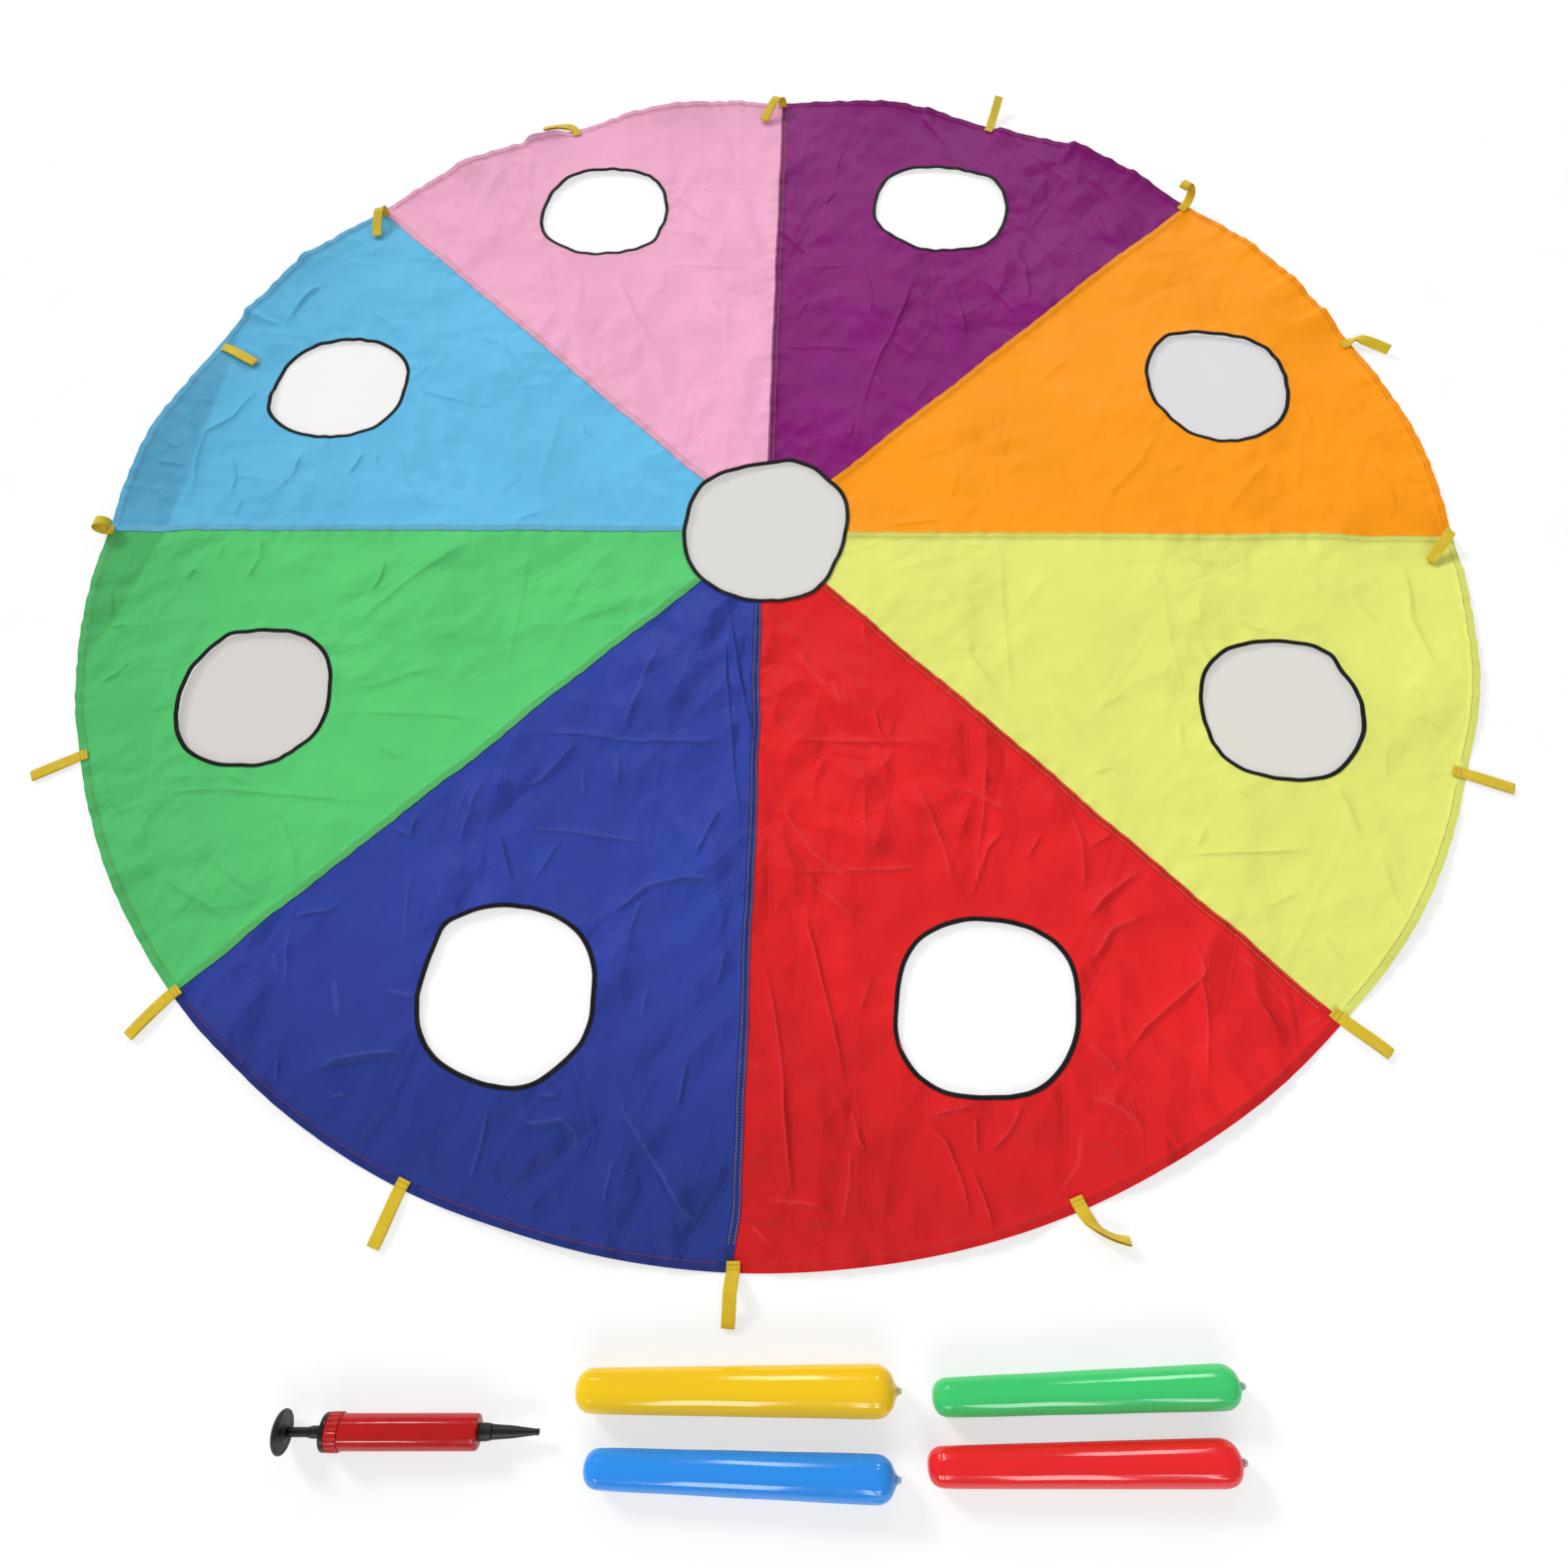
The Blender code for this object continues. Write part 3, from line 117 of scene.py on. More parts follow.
# Each panel's main folds: the points along one in millimetres, its height in tenths of a
# millimetre and its width in millimetres.
FOLDS = (
    (  # orange
     (722, 248, 684, 164, 628, 100, 602, 40, 28, 7),
     (922, 184, 876, 124, 840, 76, 818, 38, 28, 7), (574, 424, 532, 380, 494, 334, 20, 6),
     (576, 528, 582, 456, 14, 9), (425, 328, 416, 260, 433, 188, 434, 140, 18, 10),
     (416, 348, 416, 188, 416, 34, 12, 4), (348, 160, 342, 100, 322, 64, 24, 9),
     (372, 256, 390, 200, 18, 7), (194, 112, 246, 32, 18, 8), (266, 162, 342, 194, 15, 6),
     (324, 30, 212, 15, 28, 5), (480, 176, 434, 136, 15, 7),
     (1026, 440, 1036, 396, 1066, 358, 28, 6), (1000, 312, 1000, 240, 14, 5),
     (854, 206, 878, 170, 20, 6), (1116, 104, 1118, 60, 1098, 26, 28, 6),
     (1130, 142, 1174, 110, 28, 5), (1090, 160, 1110, 122, 20, 6), (730, 142, 758, 158, 20, 5),
     (684, 88, 684, 40, 14, 6), (700, 568, 702, 512, 14, 11), (774, 608, 780, 536, 14, 9),
     (870, 592, 866, 536, 14, 9), (532, 188, 540, 84, 12, 9),
    ),
    (  # purple
     (302, 682, 276, 620, 256, 548, 230, 476, 210, 432, 196, 380, 180, 316, 168, 232, 36, 6),
     (336, 682, 356, 612, 372, 532, 380, 432, 30, 6),
     (180, 776, 182, 668, 196, 588, 192, 540, 202, 448, 30, 6),
     (418, 638, 452, 580, 490, 522, 30, 6), (484, 740, 504, 660, 508, 596, 494, 538, 28, 7),
     (298, 1146, 332, 1100, 372, 1028, 40, 6), (640, 946, 676, 900, 726, 818, 40, 6),
     (570, 972, 620, 906, 26, 6), (658, 840, 676, 756, 704, 736, 22, 5),
     (136, 1080, 132, 1012, 116, 948, 126, 900, 98, 868, 84, 740, 30, 6),
     (152, 1062, 168, 980, 174, 920, 20, 6), (60, 1172, 52, 1076, 44, 980, 34, 900, 14, 7),
     (36, 920, 25, 856, 18, 5), (-2, 784, 44, 732, 74, 696, 30, 5),
     (58, 612, 66, 572, 38, 512, 26, 5), (200, 380, 222, 314, 25, 5),
     (230, 476, 256, 444, 288, 418, 20, 6), (288, 616, 302, 554, 18, 6),
     (516, 1072, 526, 1032, 20, 5), (452, 1040, 474, 986, 18, 6), (196, 584, 222, 530, 22, 5),
     (158, 264, 151, 216, 28, 5), (302, 358, 258, 282, 20, 6),
     (28, 668, 100, 671, 172, 678, 12, 5), (-4, 450, 100, 446, 196, 444, 12, 5),
     (540, 1020, 588, 956, 18, 7), (372, 524, 428, 572, 18, 6),
    ),
    (  # pink
     (-336, 684, -300, 596, -268, 524, -240, 476, -206, 418, 30, 7),
     (-278, 556, -258, 506, 18, 5), (-404, 684, -391, 596, -388, 532, 18, 7),
     (-228, 902, -188, 876, -154, 820, -134, 784, 26, 6),
     (-188, 788, -156, 756, -135, 706, 28, 6), (-222, 688, -225, 612, -264, 580, 15, 7),
     (-594, 906, -556, 860, -530, 828, 28, 6), (-698, 888, -690, 856, 22, 5),
     (-716, 832, -724, 800, 18, 5), (-386, 1031, -366, 990, 20, 6),
     (-248, 1116, -244, 1028, -218, 976, 15, 8), (-546, 1024, -540, 948, -510, 864, 20, 7),
     (-700, 772, -690, 704, 15, 6), (-228, 676, -124, 673, -20, 666, 14, 5),
     (-414, 504, -396, 436, 14, 8), (-156, 980, -148, 876, 12, 8), (-476, 692, -452, 628, 14, 9),
     (-772, 836, -708, 804, 12, 8),
    ),
    (  # sky
     (-920, 632, -944, 608, -960, 580, -972, 548, -988, 514, 50, 6),
     (-988, 514, -1020, 518, -1060, 538, 40, 6),
     (-1032, 396, -1008, 332, -1028, 268, -1072, 232, -1074, 164, -1063, 100, -1086, 28, 32, 6),
     (-1016, 184, -988, 124, -992, 68, 38, 6), (-876, 196, -880, 124, -922, 64, 32, 6),
     (-758, 188, -767, 148, -784, 120, 32, 5), (-960, 80, -970, 28, 32, 6),
     (-720, 232, -684, 180, -668, 116, -632, 68, -592, 28, 28, 6),
     (-730, 188, -730, 156, -706, 135, 22, 5), (-640, 184, -604, 100, 18, 8),
     (-400, 340, -396, 236, -412, 140, -408, 40, 15, 7), (-356, 264, -344, 228, -328, 218, 26, 6),
     (-536, 472, -516, 428, -490, 402, 28, 12), (-584, 478, -530, 458, 18, 6),
     (-772, 518, -750, 490, 22, 5), (-748, 588, -738, 536, 18, 9),
     (-698, 362, -668, 334, -562, 302, 24, 6), (-700, 368, -660, 410, 18, 6),
     (-1048, 210, -980, 207, -884, 206, 14, 5), (-1022, 129, -972, 124, -922, 106, 22, 5),
     (-1156, 156, -1084, 148, 28, 5), (-1152, 206, -1114, 186, 26, 5),
     (-1144, 100, -1098, 64, 26, 5), (-1126, 34, -1074, 18, 24, 5),
     (-1118, 264, -1090, 232, 26, 5), (-1100, 316, -1072, 300, 22, 5),
     (-468, 156, -458, 116, -500, 80, 16, 7), (-316, 132, -298, 68, 14, 7),
     (-454, 18, -400, 42, 26, 5), (-1048, 496, -980, 482, 16, 8), (-956, 660, -932, 708, 14, 9),
     (-668, 236, -688, 268, 18, 6),
    ),
    (  # green
     (-522, -9, -564, -60, -612, -100, -660, -156, -710, -220, 30, 7),
     (-671, -54, -671, -100, -686, -144, 28, 5),
     (-916, -2, -898, -52, -908, -100, -934, -105, 30, 6), (-970, -26, -974, -72, 20, 6),
     (-1006, -82, -1022, -110, 28, 5), (-250, -18, -292, -76, -316, -116, -342, -184, 20, 9),
     (-218, -146, -292, -180, -342, -198, 15, 6),
     (-420, -12, -414, -140, -420, -260, -410, -326, 15, 5),
     (-522, -282, -588, -300, -644, -324, -700, -319, 24, 7),
     (-708, -372, -580, -375, -436, -380, 18, 4), (-622, -434, -570, -458, 22, 5),
     (-1062, -402, -1004, -428, -962, -454, 30, 6), (-1060, -478, -986, -486, 20, 5),
     (-1030, -524, -884, -526, -740, -526, -628, -535, -562, -532, 24, 5),
     (-870, -502, -802, -514, 20, 5), (-926, -658, -884, -684, -836, -708, -782, -738, 35, 6),
     (-878, -610, -820, -652, -772, -684, -730, -702, 30, 7),
     (-782, -538, -740, -572, -708, -628, -698, -688, 20, 8),
     (-1118, -326, -1092, -308, -1070, -273, 26, 5), (-996, -292, -996, -320, 20, 5),
     (-916, -174, -882, -150, 16, 6), (-1150, -26, -1130, -86, 28, 5),
     (-1108, -18, -1090, -70, 26, 5), (-1156, -120, -1130, -198, 28, 5),
     (-1132, -214, -1098, -204, 24, 5), (-1050, -530, -1010, -558, 28, 5),
     (-980, -594, -962, -622, 26, 5), (-964, -642, -930, -670, 28, 5),
     (-938, -530, -964, -580, -956, -638, 20, 7), (-966, -362, -1031, -374, 22, 5),
     (-500, -76, -468, -124, 14, 9), (-836, -76, -772, -92, 14, 8),
    ),
    (  # royal
     (-63, -138, -48, -212, -28, -324, -6, -452, 40, 4),
     (-60, -152, -54, -300, -38, -460, -22, -604, 26, 4),
     (-398, -404, -284, -412, -188, -420, -20, -418, 22, 4),
     (-282, -418, -316, -460, -340, -492, -382, -514, 38, 7),
     (-162, -209, -188, -284, -208, -364, -222, -430, 28, 8), (-220, -430, -218, -512, 20, 6),
     (-566, -574, -530, -594, 28, 5), (-530, -553, -536, -600, 28, 5),
     (-414, -566, -388, -600, -372, -644, -354, -690, 42, 4),
     (-380, -574, -260, -582, -138, -601, 20, 4), (-298, -586, -316, -636, -338, -678, 25, 6),
     (-426, -472, -444, -524, -460, -620, 30, 7), (-452, -490, -470, -558, 22, 6),
     (-276, -465, -266, -526, 20, 6),
     (-26, -660, -100, -652, -156, -668, -188, -700, -230, -726, 36, 6),
     (-159, -682, -182, -750, 20, 5), (-50, -521, -76, -588, -94, -630, 30, 7),
     (-524, -634, -516, -700, -508, -780, 18, 5), (-698, -726, -644, -716, -618, -706, 25, 6),
     (-692, -730, -688, -780, -674, -848, 18, 5), (-542, -834, -474, -847, 28, 8),
     (-622, -962, -580, -936, -532, -928, -474, -927, 50, 7), (-582, -990, -554, -983, 20, 5),
     (-351, -994, -356, -1052, -369, -1110, 30, 6),
     (-321, -990, -292, -1020, -244, -1012, -220, -1036, -234, -1078, 32, 6),
     (-190, -978, -148, -1020, -108, -1076, -76, -1124, -26, -1158, 42, 7),
     (-79, -921, -90, -1000, 30, 5), (-34, -761, -50, -830, 25, 5),
     (-286, -978, -250, -980, 28, 5), (-668, -930, -658, -982, 20, 5),
     (-170, -1056, -180, -1134, 20, 5), (-143, -825, -148, -878, 18, 6),
     (-708, -778, -690, -822, 20, 5), (-612, -812, -588, -884, 16, 9),
    ),
    (  # red
     (84, -674, 88, -724, 108, -796, 128, -876, 150, -976, 42, 6),
     (15, -744, 36, -844, 56, -956, 64, -1036, 76, -1166, 38, 6),
     (34, -496, 52, -556, 92, -612, 140, -644, 174, -678, 30, 8),
     (74, -642, 124, -684, 174, -726, 26, 6), (191, -353, 200, -404, 218, -426, 30, 5),
     (32, -416, 164, -417, 300, -416, 20, 4), (28, -641, 180, -636, 300, -628, 20, 4),
     (242, -458, 276, -540, 300, -612, 310, -688, 28, 8),
     (372, -418, 364, -500, 348, -604, 338, -676, 28, 6),
     (398, -558, 364, -596, 330, -688, 34, 4), (314, -490, 364, -516, 414, -542, 30, 6),
     (449, -566, 418, -622, 28, 5), (487, -505, 508, -588, 500, -688, 28, 7),
     (558, -570, 514, -598, 25, 5), (606, -618, 532, -676, 490, -726, 40, 8),
     (598, -698, 540, -724, 490, -790, 40, 8),
     (642, -698, 660, -748, 668, -788, 636, -812, 572, -868, 522, -934, 40, 6),
     (686, -730, 660, -780, 660, -860, 642, -966, 34, 6),
     (698, -746, 748, -788, 790, -854, 34, 6), (722, -794, 758, -870, 20, 5),
     (487, -890, 534, -934, 28, 6), (250, -994, 284, -1036, 304, -1084, 314, -1134, 50, 6),
     (314, -1057, 332, -1100, 342, -1142, 38, 5), (252, -994, 334, -983, 28, 5),
     (401, -970, 372, -1020, 338, -1050, 40, 5), (324, -994, 326, -1054, 28, 5),
     (474, -962, 524, -980, 558, -1014, 40, 6), (532, -970, 553, -1022, 28, 5),
     (470, -994, 460, -1052, 426, -1094, 30, 7), (155, -986, 164, -1028, 178, -1054, 34, 5),
     (152, -1026, 152, -1084, 140, -1148, 24, 6), (28, -1108, 126, -1118, 20, 5),
     (10, -1138, 47, -1166, 28, 5), (190, -138, 172, -204, 185, -254, 20, 8),
     (50, -233, 84, -284, 126, -334, 26, 10), (182, -793, 162, -862, 20, 6),
     (124, -300, 143, -366, 20, 8), (785, -862, 822, -842, 20, 5), (176, -428, 176, -700, 12, 4),
    ),
    (  # lime
     (416, -2, 416, -180, 416, -358, 16, 5), (688, -26, 688, -180, 688, -358, 12, 5),
     (494, -82, 460, -140, 426, -182, 18, 8), (352, -209, 352, -252, 372, -284, 398, -326, 25, 7),
     (306, -97, 334, -142, 15, 7), (340, -114, 374, -174, 18, 7), (610, -30, 638, -70, 20, 6),
     (674, -65, 686, -110, 24, 6), (730, -34, 748, -58, 798, -61, 20, 5),
     (836, -26, 828, -110, 12, 8), (766, -90, 748, -140, 735, -214, 18, 8),
     (786, -166, 828, -188, 886, -210, 28, 6), (998, -122, 1012, -156, 1038, -182, 25, 6),
     (1098, -42, 1102, -100, 1092, -172, 1102, -244, 1110, -302, 28, 6),
     (1146, -202, 1174, -230, 18, 5), (1058, -290, 1078, -334, 18, 6),
     (1050, -354, 1102, -390, 25, 5), (1030, -385, 1004, -428, 990, -486, 28, 7),
     (906, -473, 924, -524, 929, -582, 34, 7), (636, -604, 748, -598, 862, -594, 24, 4),
     (702, -553, 682, -590, 24, 6), (762, -690, 830, -658, 24, 6), (842, -722, 862, -766, 24, 5),
     (554, -354, 606, -314, 24, 7), (470, -322, 500, -364, 526, -414, 20, 8),
     (676, -369, 678, -430, 28, 6), (530, -470, 574, -455, 24, 5), (746, -490, 770, -510, 28, 5),
     (956, -570, 952, -660, 972, -734, 18, 6), (484, -257, 494, -302, 14, 7),
     (924, -60, 956, -124, 12, 8),
    ),
)
# The viewer's side of a fold is its steep side. The sides' widths are shares of the fold's width.
STEEP_SIDE = np.array((0.5, -0.85))
STEEP, SHALLOW = 0.6, 1.9
FOLD_STEP = 10 * MM
FOLD_TAPER = 0.3
FOLD_CUSP = 1.1
CREST_WIDTH = 0.45
CREST_FULL = 3 * MM
# How crumpled each panel is, and which way its small wrinkles lean, in radians.
CRUMPLE = (0.4, 0.95, 0.7, 0.85, 1.05, 1.6, 1.45, 0.6)
WRINKLE_LEAN = (0.5, 1.1, 0.3, 2.0, 0.4, 2.4, 2.0, 0.7)
WRINKLES_PER_PANEL = 34
WRINKLE_CUSP = 1.2
SEED = 20
# Wide swells and ridges of the cloth: height in millimetres, pitch and seed.
SWELLS = ((2.6, 0.15, 11), (1.1, 0.08, 12))
RIDGES = ((1.3, 0.12, 13), (0.8, 0.06, 14))
# Flutes of the rim that lean over: where they are in degrees, and their height in millimetres.
RIM_TEETH = ((26.6, 7), (31.5, 5), (37.8, 4), (51.5, 5), (58.4, 8), (66.4, 7), (74.4, 6), (95.6, 3),
             (107.2, 4), (125.6, 5), (145.1, 6), (153.0, 7))
# The raised corner of the pink rim: where it starts and ends in degrees, and its height.
FLAP_START, FLAP_END = 113.1, 118.4
FLAP_HEIGHT = 13 * MM
# The cloth is pressed flat under each loop and where it lies when it swings in.
HEEL_RADIUS = 18 * MM
HEEL_EASE = 75 * MM
SWING_REACH = 0.06
LONG_SWING_REACH = 0.10
LONG_SWINGS = (0, 4, 6, 7)


def smooth(t):
    t = np.clip(t, 0, 1)
    return t * t * (3 - 2 * t)


def ease_down(distance, flat, ramp):
    """One up to flat, then falling to zero over the ramp."""
    return np.clip((flat + ramp - distance) / ramp, 0, 1)


def bell(distance, width):
    return np.exp(-(distance / width) ** 2)


def polar(points):
    """How far points are from the origin of their plane, and at what angles."""
    return np.hypot(points[:, 0], points[:, 1]), np.arctan2(points[:, 1], points[:, 0])


def distance_from(points, x, y):
    return np.hypot(points[:, 0] - x, points[:, 1] - y)


def circle(x, y, radius, turns):
    """Points at those angles on a circle."""
    return np.stack([x + radius * np.cos(turns), y + radius * np.sin(turns)], axis=1)


def run_lengths(line):
    """How far along a line each of its points is."""
    return np.concatenate([[0], np.cumsum(np.hypot(*np.diff(line, axis=0).T))])


def read_line(line, along, at):
    """Places at those distances along a line, whose own points are at the distances along."""
    return np.stack([np.interp(at, along, line[:, k]) for k in range(line.shape[1])], axis=1)


def spline(a, b, c, d, t):
    """A smooth curve through four values, read between the middle two."""
    return (2 * b + (c - a) * t + (2 * a - 5 * b + 4 * c - d) * t * t
            + (3 * b - a - 3 * c + d) * t ** 3) / 2


def unit(vectors):
    return vectors / np.linalg.norm(vectors, axis=1)[:, None]


def noise(points, pitch, seed):
    """Smooth noise from -1 to 1 on the plane, whose cells have that pitch."""
    side = 64
    table = np.random.default_rng(seed).uniform(-1, 1, (side, side))
    turn = 0.7 * seed
    spun = np.stack([points[:, 0] * math.cos(turn) - points[:, 1] * math.sin(turn),
                     points[:, 0] * math.sin(turn) + points[:, 1] * math.cos(turn)], axis=1)
    place = spun / pitch + 31.7
    cell = np.floor(place).astype(int)
    t = place - cell
    t = t * t * t * (t * (6 * t - 15) + 10)
    i, j = cell[:, 0] % side, cell[:, 1] % side
    near = table[i, j] * (1 - t[:, 0]) + table[(i + 1) % side, j] * t[:, 0]
    j = (j + 1) % side
    far = table[i, j] * (1 - t[:, 0]) + table[(i + 1) % side, j] * t[:, 0]
    return near * (1 - t[:, 1]) + far * t[:, 1]


def round_table(table, turns):
    """A closed table of values, read between its entries along a smooth curve."""
    table = np.array(table, float)
    place = turns / TAU * len(table)
    i = np.floor(place).astype(int)
    return spline(*(table[(i + k) % len(table)] for k in (-1, 0, 1, 2)), place - i)


def pushed(away, distance, push):
    """Pushes straight outward, for points that lie away from a centre at a distance."""
    return away / np.maximum(distance, 1e-9)[:, None] * push[:, None]


def warp(points):
    """Where points of the flat pattern lie on the floor."""
    radius, turn = polar(points)
    moved = points.copy()
    for (x, y), hole, lie in zip(HOLES, HOLE_RADII, HOLE_LIE):
        away = points - (x, y)
        distance, angle = polar(away)
        reach = smooth(1 - (distance - hole - TAPE_WIDTH) / PULL_REACH)
        moved += pushed(away, distance, round_table(lie, angle % TAU) * MM * reach)
    at_rim = smooth((radius - RIM + PULL_REACH) / PULL_REACH)
    moved += pushed(points, radius, round_table(RIM_LIE, turn % TAU) * MM * at_rim)
    bow = smooth((radius - 0.28) / 0.12) * smooth((RIM - 0.01 - radius) / 0.06)
    bow *= bell(points[:, 0], 0.07)
    moved[:, 0] += SEAM_BOW * np.where(points[:, 1] < 0, bow, 0)
    wander = WANDER * smooth((RIM - radius) / 0.08)
    (wide, first), (fine, second) = WANDER_PITCHES
    for axis in (0, 1):
        both = noise(points, wide, first + axis) + 0.6 * noise(points, fine, second + axis)
        moved[:, axis] += wander * both
    return moved


def even_path(path, step):
    """Points in even steps along a path of straight runs."""
    along = run_lengths(path)
    at = np.linspace(0, along[-1], max(3, round(along[-1] / step) + 1))
    return read_line(path, along, at)


def steep_sign(line):
    """One where the left of a line is its steep side, and minus one where the right is."""
    run = line[-1] - line[0]
    return 1 if -run[1] * STEEP_SIDE[0] + run[0] * STEEP_SIDE[1] > 0 else -1


def fold_line(fold):
    """A fold's points in even steps, its height and its width."""
    path = np.array(fold[:-2], float).reshape(-1, 2) * MM
    return even_path(path, FOLD_STEP), fold[-2] * MM / 10, fold[-1] * MM


FOLD_LINES = [[fold_line(fold) for fold in folds] for folds in FOLDS]
ALL_FOLDS = [(line, tall * (0.5 + crumple), wide) for folds, crumple in zip(FOLD_LINES, CRUMPLE)
             for line, tall, wide in folds]


def folds_at(points):
    """Height of the main folds at points of the flat pattern, and how near the crests are."""
    height, crest = np.zeros(len(points)), np.zeros(len(points))
    for line, tall, wide in ALL_FOLDS:
        reach = 2.6 * SHALLOW * wide
        near = np.flatnonzero(((points > line.min(axis=0) - reach)
                               & (points < line.max(axis=0) + reach)).all(axis=1))
        if not len(near):
            continue
        here = points[near]
        best, side, at = np.full(len(here), np.inf), np.zeros(len(here)), np.zeros(len(here))
        sign = steep_sign(line)
        for i, (start, end) in enumerate(zip(line, line[1:])):
            run = end - start
            length = np.hypot(*run)
            run = run / length
            rel = here - start
            along = np.clip(rel @ run, 0, length)
            away = rel - along[:, None] * run
            distance = np.hypot(*away.T)
            closer = distance < best
            best[closer] = distance[closer]
            side[closer] = sign * (away @ np.array((-run[1], run[0])))[closer]
            at[closer] = (i + along[closer] / length) / (len(line) - 1)
        spread = np.where(side > 0, STEEP, SHALLOW) * wide
        ends = smooth(at / FOLD_TAPER) * smooth((1 - at) / FOLD_TAPER)
        uneven = 0.8 + 0.2 * noise(here, 0.05, 40)
        profile = tall * ends * uneven * np.exp(-(best / spread) ** FOLD_CUSP)
        height[near] = np.maximum(height[near], profile)
        sharp = bell(best, CREST_WIDTH * wide) * ends * min(1, tall / CREST_FULL)
        crest[near] = np.maximum(crest[near], sharp)
    return height, crest


def wrinkle_heights(points, lines, fade):
    """Ridges along straight lines, tapering over a share of their length at both ends."""
    height = np.zeros(len(points))
    for x0, y0, x1, y1, tall, wide in lines:
        run = np.array((x1 - x0, y1 - y0))
        length = np.hypot(*run)
        run /= length
        along = (points - (x0, y0)) @ run
        near = (along > 0) & (along < length)
        across = (points[near] - (x0, y0)) @ np.array((-run[1], run[0]))
        close = np.abs(across) < 4 * wide * MM
        index = np.flatnonzero(near)[close]
        share = along[index] / length
        away = np.abs(across[close]) / (wide * MM)
        ends = smooth(share / fade) * smooth((1 - share) / fade)
        height[index] = np.maximum(height[index], tall * MM * ends * np.exp(-away ** WRINKLE_CUSP))
    return height


def wrinkles(number, low, high):
    """Short sharp wrinkles scattered over one panel: ends in metres, height and width in mm."""
    random = np.random.default_rng(SEED + number)
    found = []
    for _ in range(WRINKLES_PER_PANEL):
        radius = math.sqrt(random.uniform(0.24 ** 2, 1.13 ** 2))
        x, y = spot(radius, PANEL_TURN * (number + random.uniform(0.04, 0.96)))
        way = WRINKLE_LEAN[number] + random.normal(0, 0.8)
        length = random.uniform(0.04, 0.20) * random.uniform(0.5, 1)
        dx, dy = spot(length / 2, way)
        tall = random.uniform(low, high)
        found.append((x - dx, y - dy, x + dx, y + dy, tall, random.uniform(7, 13)))
    return found


WRINKLES = [line for number, crumple in enumerate(CRUMPLE)
            for line in wrinkles(number, 0.3, 1.5 * crumple)]


def to_seam(radius, turn):
    """How far points are from the nearest seam."""
    return radius * np.abs(np.sin((turn + PANEL_TURN / 2) % PANEL_TURN - PANEL_TURN / 2))


def gathers(run, wide, fine, share):
    """Two sizes of gathers along a run, never below zero."""
    return 1 + np.sin(TAU * run / wide) + share * (1 + np.sin(TAU * run / fine))


def pressed(points):
    """How free the cloth is to stand up: almost not under the loops and where they swing in."""
    to_handle = np.full(len(points), 1.0)
    for k in range(16):
        way = np.array(spot(1, k * HANDLE_TURN))
        inner = HEM_LINE - (LONG_SWING_REACH if k in LONG_SWINGS else SWING_REACH)
        along = np.clip(points @ way, inner, RIM)
        to_handle = np.minimum(to_handle, np.hypot(*(points - along[:, None] * way).T))
    return 0.02 + 0.98 * smooth((to_handle - HEEL_RADIUS) / HEEL_EASE)


def creasing(points):
    """Height of creases, wrinkles and puckers at points of the flat pattern."""
    radius, turn = polar(points)
    crumple = np.array(CRUMPLE)[(turn % TAU / PANEL_TURN).astype(int) % 8]
    height = sum(tall * MM * (1 + noise(points, pitch, seed)) for tall, pitch, seed in SWELLS)
    ridges = sum(tall * MM * (1 - np.abs(noise(points, pitch, seed))) ** 3
                 for tall, pitch, seed in RIDGES)
    height += crumple * ridges * (0.6 + 0.4 * noise(points, 0.25, 15))
    height += folds_at(points)[0] + wrinkle_heights(points, WRINKLES, 0.45)
    along_seam = radius + 0.03 * noise(points, 0.2, 16)
    pucker = gathers(along_seam, 0.043, 0.027, 0.6)
    height += 0.8 * MM * pucker * bell(to_seam(radius, turn), 0.020)
    for number, ((x, y), hole) in enumerate(zip(HOLES, HOLE_RADII)):
        away = points - (x, y)
        distance, angle = polar(away)
        ripple = 1 + np.sin(19 * angle + 2.5 * noise(away, 0.06, 17 + number))
        height += 0.9 * MM * ripple * bell(np.maximum(distance - hole - TAPE_WIDTH, 0), 0.022)
    along_rim = turn * RIM + 0.012 * noise(points, 0.1, 30)
    height += 0.9 * MM * gathers(along_rim, 0.047, 0.029, 0.7) * bell(RIM - radius, 0.030)
    height = height * pressed(points)
    degrees = np.degrees(turn % TAU)
    for middle, tall in RIM_TEETH:
        lean = smooth((degrees - middle + 3) / 3) * smooth((middle + 0.6 - degrees) / 0.6)
        height += tall * MM * lean * bell(RIM - radius, 0.05)
    flap = smooth((degrees - FLAP_START) / 1.8) * smooth((FLAP_END - degrees) / 1.1)
    return height + FLAP_HEIGHT * flap * np.exp(-np.abs(RIM - radius) / 0.020)


def whole_lift(points):
    """How far the whole cloth stands off the floor, at points of the flat pattern."""
    radius, turn = polar(points)
    turn = turn % TAU
    over = np.maximum.reduce([ease_down(distance_from(points, x, y), hole + TAPE_WIDTH + GAP,
                                        TAPE_RISE) for (x, y), hole in zip(HOLES, HOLE_RADII)])
    flute = FLUTE_HEIGHT * np.array(FLUTE_SHARES)[(turn / PANEL_TURN).astype(int) % 8]
    near_rim = np.maximum(0, (radius - RIM + FLUTE_BAND) / FLUTE_BAND)
    wave = np.sin(math.pi * turn / HANDLE_TURN) ** 4
    return TAPE_LIFT * over + flute * near_rim ** 2 * wave + creasing(points)


def own_frame(points, number):
    """Points turned so that the panel's first seam lies on the X axis."""
    c, s = spot(1, -PANEL_TURN * number)
    x, y = points[:, 0], points[:, 1]
    return np.stack([x * c - y * s, x * s + y * c], axis=1)


# The direction of a panel's far seam in its own frame, and the direction into the panel from it.
FAR_RUN = np.array(spot(1, PANEL_TURN))
FAR_SIDE = np.array((FAR_RUN[1], -FAR_RUN[0]))


